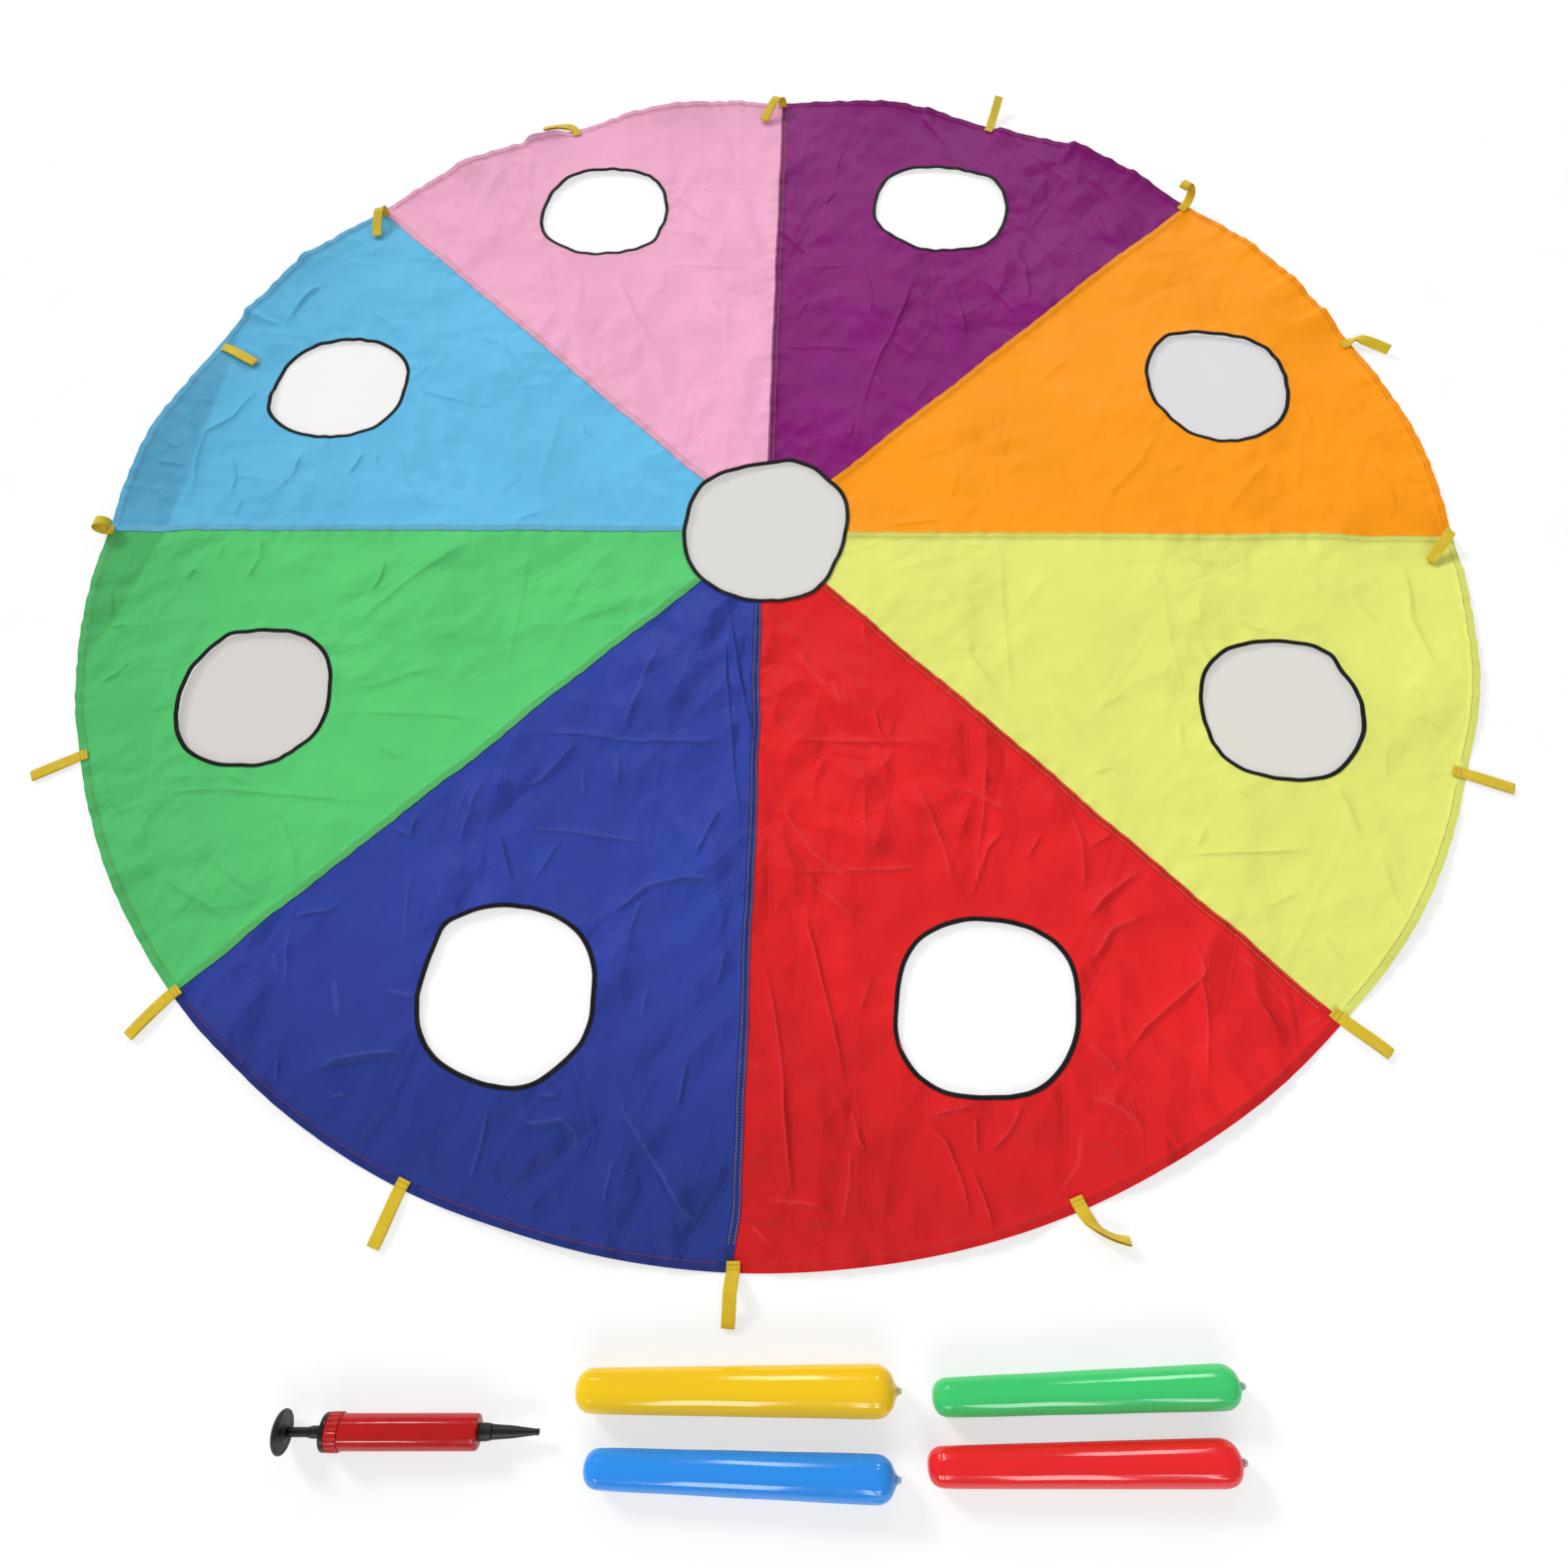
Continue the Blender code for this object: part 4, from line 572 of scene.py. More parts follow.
def to_far_seam(local):
    return FAR_RUN[1] * local[:, 0] - FAR_RUN[0] * local[:, 1]


def layers(local):
    """For points in a panel's own frame: its raised edge and its hem, each from 0 to 1."""
    raised = ease_down(to_far_seam(local), ALLOWANCE + GAP, SEAM_STEP)
    in_hem = 1 - ease_down(polar(local)[0], HEM_LINE - HEM_STEP, HEM_STEP)
    return raised, in_hem * (1 - ease_down(local[:, 1], GAP, HEM_STEP)) * (1 - raised)


def cloth_height(points, number):
    """The lower and upper face of one panel, at points of the flat pattern."""
    raised, hem = layers(own_frame(points, number))
    under = whole_lift(points) + LAP * raised
    return under, under + CLOTH * (1 + hem)


def laid(points, height):
    """Points of the flat pattern, and their heights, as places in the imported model's frame."""
    return np.column_stack([warp(points), height]) + np.array(CENTRE)


# Materials

def to_linear(rgb):
    return tuple(v / 12.92 if v <= 0.04045 else ((v + 0.055) / 1.055) ** 2.4
                 for v in (channel / 255 for channel in rgb))


def add_node(tree, kind, sockets=(), **settings):
    """A node with its settings, its sockets given values or linked to other nodes' outputs."""
    made = tree.nodes.new(kind)
    for key, value in settings.items():
        setattr(made, key, value)
    for key, value in dict(sockets).items():
        if isinstance(value, bpy.types.NodeSocket):
            tree.links.new(value, made.inputs[key])
        else:
            made.inputs[key].default_value = value
    return made


class Surface:
    """A node material, built from one Principled shader."""

    def __init__(self, name, rgb, roughness, **plain):
        self.material = bpy.data.materials.new(name)
        self.material.use_nodes = True
        self.tree = self.material.node_tree
        self.shader = self.tree.nodes["Principled BSDF"]
        self.colour = (*to_linear(rgb), 1)
        self.shader.inputs["Base Color"].default_value = self.colour
        self.shader.inputs["Roughness"].default_value = roughness
        for socket, value in plain.items():
            self.shader.inputs[socket.replace("_", " ")].default_value = value
        self.bumps = None
        self.material.diffuse_color = self.colour

    def node(self, kind, sockets=(), **settings):
        return add_node(self.tree, kind, sockets, **settings)

    def feed(self, socket, source):
        """Links a source to one of the shader's sockets."""
        self.tree.links.new(source, self.shader.inputs[socket])

    def object_place(self):
        return self.node("ShaderNodeTexCoord").outputs["Object"]

    def attribute(self, name, output="Fac"):
        return self.node("ShaderNodeAttribute", attribute_name=name).outputs[output]

    def place(self, scale=(1, 1, 1), attribute=None, turn=0.0):
        """Object coordinates, or an attribute's, scaled and turned."""
        source = self.attribute(attribute, "Vector") if attribute else self.object_place()
        sockets = {"Scale": scale, "Rotation": (0, 0, turn), "Vector": source}
        return self.node("ShaderNodeMapping", sockets).outputs["Vector"]

    def leaning(self, turn, across):
        """Object coordinates turned, and then squeezed across that lean."""
        sockets = {"Rotation": (0, 0, turn), "Scale": (1, 1 / across, 1),
                   "Vector": self.object_place()}
        return self.node("ShaderNodeMapping", sockets, vector_type="TEXTURE").outputs["Vector"]

    def noise(self, where, scale, detail=4, kind="FBM", distortion=0.0):
        sockets = {"Scale": scale, "Detail": detail, "Distortion": distortion, "Vector": where}
        return self.node("ShaderNodeTexNoise", sockets, noise_type=kind).outputs["Fac"]

    def wave(self, where, scale, direction="X", distortion=0.0):
        sockets = {"Scale": scale, "Distortion": distortion, "Detail": 1, "Vector": where}
        return self.node("ShaderNodeTexWave", sockets, bands_direction=direction).outputs["Fac"]

    def facets(self, where, scale):
        """Straight-edged cells: how far a point is from its cell's edge."""
        return self.node("ShaderNodeTexVoronoi", {"Scale": scale, "Vector": where},
                         voronoi_dimensions="2D", feature="DISTANCE_TO_EDGE").outputs["Distance"]

    def towards(self, turn):
        """How far a point of the canopy is from its centre in one direction."""
        sockets = {0: self.object_place(), 1: (*spot(1, turn), 0)}
        return self.node("ShaderNodeVectorMath", sockets, operation="DOT_PRODUCT").outputs["Value"]

    def curve(self, source, low, high, out_low, out_high):
        """A smooth step between two values, as the source goes from low to high."""
        sockets = {"From Min": low, "From Max": high, "To Min": out_low, "To Max": out_high,
                   "Value": source}
        made = self.node("ShaderNodeMapRange", sockets, interpolation_type="SMOOTHSTEP")
        return made.outputs["Result"]

    def split(self, name):
        """The first two numbers of a vector attribute."""
        made = self.node("ShaderNodeSeparateXYZ", {0: self.attribute(name, "Vector")})
        return made.outputs["X"], made.outputs["Y"]

    def joined(self, source):
        return self.node("ShaderNodeCombineXYZ", {"X": source}).outputs[0]

    def times(self, first, second):
        return self.node("ShaderNodeMath", {0: first, 1: second}, operation="MULTIPLY").outputs[0]

    def tint(self, share, rgb):
        """Mixes another colour in, by a share from 0 to 1."""
        sockets = {"A": self.colour, "B": (*to_linear(rgb), 1), "Factor": share}
        self.colour = self.node("ShaderNodeMix", sockets, data_type="RGBA").outputs["Result"]
        self.feed("Base Color", self.colour)

    def patches(self, source, low, high, most, rgb):
        """Mixes another colour in where the source is high, up to a share."""
        self.tint(self.curve(source, low, high, 0, most), rgb)

    def rough(self, source, low, high):
        self.feed("Roughness", self.curve(source, 0, 1, low, high))

    def bump(self, source, distance, strength=1.0):
        sockets = {"Distance": distance, "Strength": strength, "Height": source}
        if self.bumps:
            sockets["Normal"] = self.bumps
        self.bumps = self.node("ShaderNodeBump", sockets).outputs["Normal"]
        self.feed("Normal", self.bumps)


def darker(rgb, share):
    return tuple(channel * share for channel in rgb)


def lighter(rgb, share):
    return tuple(255 - (255 - channel) * share for channel in rgb)


CLOTH_RGB = {
    "orange": (255, 155, 19), "purple": (133, 21, 115), "pink": (240, 171, 203),
    "sky": (100, 189, 231), "green": (89, 204, 116), "royal": (51, 68, 160),
    "red": (229, 36, 39), "lime": (228, 233, 117),
}
HEM_THREAD = (170, 62, 48)
SEAM_THREAD = (196, 168, 78)
# Painted shade, as the light falls off across the canopy: towards which side in degrees each panel
# darkens, from and to how far, and to what share.
PAINTED_SHADE_SIDES = {
    "purple": (50, 0.75, 1.25, 0.94), "pink": (110, 0.8, 1.2, 0.97), "sky": (172, 0.7, 1.1, 0.94),
    "green": (200, 0.7, 1.1, 0.92), "royal": (262, 0.62, 1.02, 0.83), "red": (243, 0.35, 0.9, 0.86),
    "lime": (310, 0.75, 1.1, 0.97),
}
# How dark each panel is where it lies double, and which way its pressed facets lean, in radians.
DOUBLED = (0.95, 0.88, 0.94, 0.9, 0.87, 0.74, 0.86, 0.93)
FACET_LEAN = (0.6, 1.3, 1.9, 2.3, 0.3, 1.2, 1.7, 0.2)
# The sizes of facet: cells per metre, how narrow they are, their own lean, and their slope.
FACETS = ((3.0, 1.6, 0.3, 0.065), (6.5, 1.8, -0.2, 0.085), (14, 1.5, 0.5, 0.07))
# The ridge along a facet's edge: its width and its height, both as shares of the facet.
FACET_EDGE, FACET_RIDGE = 0.045, 0.0045
DARK_CLOTH = ("purple", "royal", "red")
WEAVE_PITCH = 700


def cloth_surface(number):
    """Thin coated taffeta: pressed facets, a fine crumple and the weave, darker where doubled."""
    name = PANELS[number]
    rgb = CLOTH_RGB[name]
    dark = name in DARK_CLOTH
    made = Surface(f"taffeta_{name}", rgb, 0.46, Specular_IOR_Level=0.1)
    place = made.place()
    cloudy = made.noise(place, 4.5, 2)
    patchy = made.noise(made.place(turn=0.4), 13, 3, distortion=0.6)
    # Random darker patches: partly the cloth's uneven tone, partly painted shade standing in for
    # the shading of its wide swells, stronger on dark cloth.
    made.patches(cloudy, 0.38, 0.66, 0.7 if dark else 0.4, darker(rgb, 0.94))
    made.patches(patchy, 0.42, 0.66, 0.6 if dark else 0.25, darker(rgb, 0.95))
    # Painted shade: each panel darkens towards one side, where the light across the canopy falls
    # off.
    if name in PAINTED_SHADE_SIDES:
        turn, start, end, share = PAINTED_SHADE_SIDES[name]
        made.patches(made.towards(math.radians(turn)), start, end, 1, darker(rgb, share))
    # Painted highlight along the fold crests on dark cloth, and painted shade along them on light
    # cloth.
    crest = lighter(rgb, 0.84) if dark else darker(rgb, 0.86)
    made.patches(made.attribute("crease"), 0.15, 1, 0.3, crest)
    # Painted shade along the strip at the left rim.
    made.tint(made.attribute("strip"), darker(rgb, 0.82))
    made.tint(made.attribute("doubled"), darker(rgb, DOUBLED[number]))
    # Painted shade in the puckers along the hems and seams, which are also bumped below.
    run, near = made.split("gather")
    pucker = made.times(made.curve(made.noise(made.joined(run), 85, 2), 0.45, 0.7, 0, 1), near)
    made.patches(pucker, 0.2, 0.9, 0.35, darker(rgb, 0.8))
    made.rough(cloudy, 0.4, 0.52)
    pressed_here = made.curve(made.noise(made.place(turn=0.9), 3.4, 2), 0.36, 0.6, 0.15, 1)
    for scale, across, turn, slope in FACETS:
        net = made.facets(made.leaning(FACET_LEAN[number] + turn, across), scale)
        made.bump(made.times(net, pressed_here), CRUMPLE[number] * slope / scale)
        edge = made.times(made.curve(net, 0, FACET_EDGE, 1, 0), pressed_here)
        made.bump(edge, CRUMPLE[number] * FACET_RIDGE / scale)
    ridged = "RIDGED_MULTIFRACTAL"
    made.bump(made.noise(place, 15, 3, kind=ridged, distortion=0.4), 0.0011, 0.5)
    made.bump(made.noise(made.place(turn=0.6), 55, 2, kind=ridged), 0.0003, 0.4)
    made.bump(pucker, 0.0009, 0.6)
    for direction in "XY":
        made.bump(made.wave(place, WEAVE_PITCH, direction), 0.00004, 0.35)
    return made.material


def tape_surface():
    """Black ribbed binding tape."""
    made = Surface("binding_tape", (13, 13, 15), 0.66, Specular_IOR_Level=0.25)
    weave = made.place(attribute="weave")
    made.bump(made.wave(weave, 260, "X"), 0.0001, 0.8)
    made.patches(made.noise(made.place(), 90, 2), 0.45, 0.8, 0.6, (30, 30, 33))
    made.rough(made.noise(made.place(), 200, 2), 0.52, 0.74)
    return made.material


def webbing_surface():
    """Yellow polypropylene webbing: ribs along it, crossed by a fine weft, with paler patches."""
    rgb = (228, 196, 34)
    made = Surface("hand_loop_webbing", rgb, 0.6, Specular_IOR_Level=0.35, Sheen_Weight=0.1)
    weave = made.place(attribute="weave")
    ribs = made.wave(weave, 175, "Y")
    weft = made.wave(weave, 300, "X", 0.6)
    # Painted shade between the ribs and between the threads of the weft.
    made.tint(made.curve(ribs, 0, 0.5, 0.5, 0), darker(rgb, 0.72))
    made.tint(made.curve(weft, 0, 0.4, 0.25, 0), darker(rgb, 0.8))
    made.patches(made.noise(made.place(), 60, 3), 0.5, 0.8, 0.5, (240, 212, 70))
    made.bump(ribs, 0.00035, 0.7)
    made.bump(weft, 0.00018, 0.7)
    made.rough(weft, 0.66, 0.52)
    return made.material


def thread_surface(name, rgb):
    made = Surface(name, rgb, 0.5, Specular_IOR_Level=0.4, Sheen_Weight=0.1)
    made.patches(made.noise(made.place(), 400, 2), 0.4, 0.7, 0.6, darker(rgb, 0.75))
    made.bump(made.wave(made.place(turn=0.8), 1500, "X"), 0.00006, 0.6)
    return made.material


def film_surface(name, rgb):
    """Blown PVC film: smooth and glossy, with faint waves and a slightly uneven tint."""
    made = Surface(f"pvc_film_{name}", rgb, 0.12, Specular_IOR_Level=0.5)
    place = made.place((1, 3, 3))
    cloudy = made.noise(place, 4, 3)
    made.patches(cloudy, 0.45, 0.8, 0.4, darker(rgb, 0.92))
    made.rough(made.noise(place, 30, 3), 0.07, 0.13)
    made.bump(made.noise(place, 9, 1), 0.0008, 0.3)
    made.bump(made.noise(made.place(), 160, 2), 0.00002, 0.4)
    return made.material


def clear_surface():
    made = Surface("clear_valve", (222, 226, 228), 0.18, Specular_IOR_Level=0.5,
                   Transmission_Weight=0.55)
    made.patches(made.noise(made.place(), 150, 2), 0.45, 0.8, 0.5, (190, 194, 198))
    made.bump(made.noise(made.place(), 300, 2), 0.0001, 0.4)
    return made.material


def black_surface(name, rgb, roughness):
    """Moulded black plastic with a fine grain and a few paler scuffs."""
    made = Surface(name, rgb, roughness, Specular_IOR_Level=0.45)
    place = made.place()
    scuffs = made.noise(made.place((1, 6, 6)), 60, 4)
    made.patches(scuffs, 0.55, 0.8, 0.5, lighter(rgb, 0.86))
    made.rough(made.noise(place, 120, 3), roughness - 0.06, roughness + 0.1)
    made.bump(made.noise(place, 900, 2), 0.00008, 0.5)
    return made.material


def barrel_surface(name, rgb, clear):
    """Translucent red plastic that lets its inside show faintly."""
    made = Surface(name, rgb, 0.12, Specular_IOR_Level=0.5, Transmission_Weight=clear, IOR=1.45)
    place = made.place()
    made.patches(made.noise(place, 25, 3), 0.45, 0.8, 0.4, darker(rgb, 0.85))
    made.rough(made.noise(place, 60, 3), 0.08, 0.18)
    made.bump(made.noise(made.place((1, 5, 5)), 40, 2), 0.0005, 0.25)
    return made.material


# Meshes

SHARP_ANGLE = math.radians(38)


def put(name, data):
    """A new object in the scene."""
    made = bpy.data.objects.new(name, data)
    bpy.context.scene.collection.objects.link(made)
    return made


def dress(name, mesh, material, body, replaces=()):
    """Makes a mesh into a piece: its material, its shading, and the calls that place it."""
    mesh.materials.append(material)
    mesh.shade_smooth()
    mesh.set_sharp_from_angle(angle=SHARP_ANGLE)
    made = put(name, mesh)
    if replaces:
        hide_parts(*replaces)
    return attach(made, body)


def new_piece(name, verts, faces, material, body, replaces=(), attributes=()):
    mesh = bpy.data.meshes.new(name)
    mesh.from_pydata(np.asarray(verts, float).tolist(), [], faces)
    for key, values in attributes:
        values = np.asarray(values, np.float32)
        kind, field = ("FLOAT", "value") if values.ndim == 1 else ("FLOAT_VECTOR", "vector")
        mesh.attributes.new(key, kind, "POINT").data.foreach_set(field, values.ravel())
    return dress(name, mesh, material, body, replaces)


def pairs(first, second):
    """Two numbers for each point, as a vector attribute holds them."""
    return np.stack([first, second, np.zeros(len(first))], axis=1)


def placed(points, matrix):
    matrix = np.array(matrix)
    return points @ matrix[:3, :3].T + matrix[:3, 3]


def tube_faces(stations, around, closed_along, closed_around=True, caps=False):
    """Faces of a grid of points, numbered station by station."""
    faces = []
    for i in range(stations if closed_along else stations - 1):
        a, b = i * around, (i + 1) % stations * around
        for j in range(around if closed_around else around - 1):
            k = (j + 1) % around
            faces.append((a + j, a + k, b + k, b + j))
    if caps:
        faces.append(tuple(range(around))[::-1])
        faces.append(tuple((stations - 1) * around + j for j in range(around)))
    return faces


# Canopy panels

def even_arc(radius, start, end, centre=(0.0, 0.0)):
    steps = max(2, round(abs(end - start) * radius / GRAIN))
    return circle(*centre, radius, np.linspace(start, end, steps + 1))


def even_line(start, end):
    start, end = np.array(start), np.array(end)
    steps = max(1, round(np.hypot(*(end - start)) / GRAIN))
    return start + (end - start) * np.linspace(0, 1, steps + 1)[:, None]


def beside_far_seam(start, end, distance):
    """A line beside a panel's far seam, between two distances from the centre."""
    return even_line(FAR_RUN * start + FAR_SIDE * distance, FAR_RUN * end + FAR_SIDE * distance)


class Sieve:
    """Keeps the points of a panel's mesh a little apart, on a grid of 1 mm cells."""

    shape = (1300, 960)
    corner = (0.03, 0.04)

    def __init__(self):
        self.taken = np.zeros(self.shape, bool)

    def cells(self, points):
        return ((points + self.corner) / MM).astype(int).T

    def mark(self, points, room):
        i, j = self.cells(points)
        reach = math.ceil(room / MM)
        for di in range(-reach, reach + 1):
            for dj in range(-reach, reach + 1):
                if (di * di + dj * dj) * MM * MM <= room * room:
                    self.taken[i + di, j + dj] = True

    def free(self, points):
        i, j = self.cells(points)
        return points[~self.taken[i, j]]


# Rows of points beside a fold's crest, as shares of its width, and how far apart points may lie:
# along those rows, beside kept lines, and beside each other.
FOLD_ROWS = (0, 0.6, 1.3, -0.9)
ROW_STEP = 4.5 * MM
LINE_ROOM = 0.42 * GRAIN
ROW_ROOM = 2.1 * MM
EDGE_ROOM = 2 * MM


def panel_pattern(number):
    """The flat cut of one panel in its own frame, in triangles that follow its folds."""
    points, edges = [], []
    sieve = Sieve()

    def keep(line, closed=False):
        """Adds a line that the triangles' edges follow."""
        first = len(points)
        points.extend(map(tuple, line))
        ids = list(range(first, len(points)))
        edges.extend(zip(ids, ids[1:]))
        if closed:
            edges.append((ids[-1], ids[0]))
            line = np.vstack([line, line[:1]])
        along = run_lengths(line)
        sieve.mark(read_line(line, along, np.arange(0, along[-1], 2 * MM)), LINE_ROOM)
        return ids

    def arc(radius):
        return even_arc(radius, -math.asin(ALLOWANCE / radius), PANEL_TURN)

    cut = CENTRE_RADIUS + TAPE_LIFT
    outer, inner = arc(RIM), arc(cut)
    near_side = even_line(inner[0], outer[0])[1:-1]
    far_side = even_line(outer[-1], inner[-1])[1:-1]
    outline = keep(np.concatenate([outer, far_side, inner[::-1], near_side]), closed=True)
    tape_edge = CENTRE_RADIUS + TAPE_WIDTH + GAP
    for radius in (tape_edge, tape_edge + TAPE_RISE, HEM_LINE - HEM_STEP, HEM_LINE):
        keep(arc(radius)[1:-1])
    for distance in (ALLOWANCE + GAP, ALLOWANCE + GAP + SEAM_STEP):
        keep(beside_far_seam(cut + MM, RIM - MM, distance))
    for distance in (GAP, GAP + HEM_STEP):
        keep(np.array([(HEM_LINE - HEM_STEP, distance), (RIM - MM, distance)]))
    hole = HOLES[0]
    hole_edge = HOLE_RADIUS + TAPE_WIDTH + GAP
    for radius in (HOLE_RADIUS + TAPE_LIFT, hole_edge, hole_edge + TAPE_RISE):
        keep(even_arc(radius, 0, TAU, hole)[:-1], closed=True)

    def inside(places):
        radius = polar(places)[0]
        off_hole = distance_from(places, *hole) > HOLE_RADIUS + TAPE_LIFT + EDGE_ROOM
        return places[(radius > cut + EDGE_ROOM) & (radius < RIM - EDGE_ROOM)
                      & (to_far_seam(places) > EDGE_ROOM)
                      & (places[:, 1] > EDGE_ROOM - ALLOWANCE) & off_hole]

    for line, _, wide in FOLD_LINES[number]:
        line = own_frame(even_path(line, ROW_STEP), number)
        side = np.stack([-np.gradient(line[:, 1]), np.gradient(line[:, 0])], axis=1)
        side /= np.hypot(*side.T)[:, None]
        side *= steep_sign(own_frame(line, -number))
        rows = sieve.free(inside(np.vstack([line + side * share * wide for share in FOLD_ROWS])))
        points.extend(map(tuple, rows))
        sieve.mark(rows, ROW_ROOM)

    rows = np.arange(-0.02, 0.9, GRAIN * math.sqrt(3) / 2)
    across = np.arange(0.1, 1.22, GRAIN)
    lattice = np.concatenate([np.stack([across + GRAIN / 2 * (i % 2),
                                        np.full(len(across), row)], axis=1)
                              for i, row in enumerate(rows)])
    points.extend(map(tuple, sieve.free(inside(lattice))))

    plan = delaunay_2d_cdt([Vector(p) for p in points], edges, [outline], 1, 1e-7)
    flat = np.array([tuple(p) for p in plan[0]])
    faces = np.array([face for face in plan[2] if len(face) == 3])
    in_cloth = distance_from(flat[faces].mean(axis=1), *hole) > HOLE_RADIUS + TAPE_LIFT * 0.9
    faces = faces[in_cloth]
    used, index = np.unique(faces, return_inverse=True)
    return flat[used], index.reshape(faces.shape)


def gather_marks(points):
    """The run along the nearest hem or seam, and how near it is, for the puckers sewn into it."""
    radius, turn = polar(points)
    at_rim, at_seam = bell(RIM - radius, 0.013), 0.35 * bell(to_seam(radius, turn), 0.008)
    return pairs(np.where(at_rim > at_seam, turn * RIM, radius), np.maximum(at_rim, at_seam))


# The strip along the left rim that gets painted shade, for the darker ground seen through the cloth
# there: its edge, as Y and X.
STRIP_PANELS = (3, 4)
STRIP_EDGE = ((-0.4, -0.2, 0.0, 0.2, 0.42), (-1.2, -1.125, -1.085, -1.07, -1.07))


def strip_shade(points, number):
    """How dark the painted shade of the strip along the left rim makes the cloth."""
    if number not in STRIP_PANELS:
        return np.zeros(len(points))
    edge = np.interp(points[:, 1], *STRIP_EDGE)
    return smooth((edge - points[:, 0]) / 0.012) * (0.85 + 0.15 * noise(points, 0.02, 50))


def build_panels():
    pieces = []
    for number, name in enumerate(PANELS):
        flat, faces = panel_pattern(number)
        count = len(flat)
        corners = np.concatenate([faces[:, [0, 1]], faces[:, [1, 2]], faces[:, [2, 0]]])
        held = {tuple(pair) for pair in corners.tolist()}
        border = [(a, b) for a, b in held if (b, a) not in held]
        all_faces = faces[:, ::-1].tolist() + (faces + count).tolist()
        all_faces += [(a, b, b + count, a + count) for a, b in border]
        points = own_frame(flat, -number)
        under, over = cloth_height(points, number)
        doubled = np.maximum(np.maximum(*layers(flat)), ease_down(flat[:, 1], 0, MM))
        # The crease mark is where the fold crests get their painted highlight and shade.
        marks = {"crease": folds_at(points)[1], "doubled": doubled,
                 "strip": strip_shade(points, number), "gather": gather_marks(points)}
        pieces.append(new_piece(
            f"{name}_cloth", np.concatenate([laid(points, under), laid(points, over)]), all_faces,
            cloth_surface(number), "canopy", [f"panel_{name}"],
            [(key, np.concatenate([values, values])) for key, values in marks.items()]))
    return pieces


# Binding tape

def tape_section(tall):
    """The folded tape: places out from the opening's edge, and up, in one closed line."""
    fold = np.linspace(-QUARTER, QUARTER, 7)
    half, inner = tall / 2, tall / 2 - TAPE
    squeeze, bulge = 0.8, 0.1 * MM
    section = [(TAPE_WIDTH, 0.0)]
    section += [(half * (1 - math.cos(a)) * squeeze, half + half * math.sin(a)) for a in fold]
    section += [(TAPE_WIDTH, tall), (TAPE_WIDTH + bulge, tall - TAPE / 2),
                (TAPE_WIDTH, tall - TAPE)]
    section += [(TAPE + inner * (1 - math.cos(a)) * squeeze, half + inner * math.sin(a))
                for a in fold[::-1]]
    section += [(TAPE_WIDTH, TAPE), (TAPE_WIDTH + bulge, TAPE / 2)]
    return np.array(section).T


def build_bindings(material):
    """Tape folded over each opening's edge, following the cloth's lie."""
    made = []
    for number, ((x, y), hole) in enumerate(zip(HOLES, HOLE_RADII)):
        centre = number == 8
        out, up = tape_section(2 * TAPE_LIFT + CLOTH + (LAP if centre else 0))
        turns = np.linspace(0, TAU, round(TAU * hole / (4 * MM)) + 1)[:-1]
        points = np.stack([x + np.outer(np.cos(turns), hole + out),
                           y + np.outer(np.sin(turns), hole + out)], axis=2).reshape(-1, 2)
        base = np.repeat(creasing(circle(x, y, hole + TAPE_WIDTH, turns)), len(out))
        weave = pairs(np.repeat(turns * hole, len(out)), np.tile(out, len(turns)))
        panel = "" if centre else PANELS[number]
        name = "centre_binding" if centre else f"{panel}_head_binding"
        node = "centre_hole_binding" if centre else f"head_hole_binding_{panel}"
        faces = [face[::-1] for face in tube_faces(len(turns), len(out), True)]
        made.append(new_piece(name, laid(points, base + np.tile(up, len(turns))), faces, material,
                              "canopy", [node], [("weave", weave)]))
    return made


# Stitching

STITCH_LENGTH = 3.4 * MM
STITCH_PITCH = 4.4 * MM
STITCH_HALF = 0.42 * MM
STITCH_HEIGHT = 0.45 * MM
# The rows: the hem's distance from the centre, and the seams' distances from the seam.
HEM_ROW = HEM_LINE + 2 * MM
SEAM_ROWS = (2 * MM, 9.5 * MM)
# The loops cover the stitches this close to their hinges.
LOOP_COVER = 22 * MM


def stitches(starts, ends, sides, ups):
    """Short rounded threads, each from a start to an end, with directions across them and up."""
    verts, faces = [], []
    start, end = np.asarray(starts, float), np.asarray(ends, float)
    for share, size in ((0.0, 0.25), (0.25, 1.0), (0.75, 1.0), (1.0, 0.25)):
        middle = start + (end - start) * share
        for across, up in ((-1, 0), (0, 1), (1, 0), (0, -0.4)):
            verts.append(middle + sides * (across * STITCH_HALF * size)
                         + ups * (up * STITCH_HEIGHT * size))
    verts = np.stack(verts, axis=1).reshape(-1, 3)
    one = tube_faces(4, 4, False, caps=True)
    for n in range(len(start)):
        faces += [tuple(16 * n + i for i in face) for face in one]
    return verts, faces


def canopy_stitches(name, runs, rgb):
    """Runs are pairs of a row's line on the flat pattern and its panel's number."""
    starts, ends = [], []
    for line, number in runs:
        along = run_lengths(line)
        at = np.arange(STITCH_PITCH / 2, along[-1] - STITCH_LENGTH, STITCH_PITCH)
        middles = read_line(line, along, at + STITCH_LENGTH / 2)
        to_hinge = np.hypot(*(middles[:, None] - HINGES[None]).transpose(2, 0, 1)).min(axis=1)
        at = at[to_hinge > LOOP_COVER]
        for shift, out in ((0, starts), (STITCH_LENGTH, ends)):
            points = read_line(line, along, at + shift)
            out.append(laid(points, cloth_height(points, number)[1]))
    starts, ends = np.concatenate(starts), np.concatenate(ends)
    ups = np.tile((0.0, 0.0, 1.0), (len(starts), 1))
    verts, faces = stitches(starts, ends, unit(np.cross(ups, unit(ends - starts))), ups)
    return new_piece(f"{name}_stitching", verts, faces, thread_surface(f"{name}_thread", rgb),
                     "canopy")


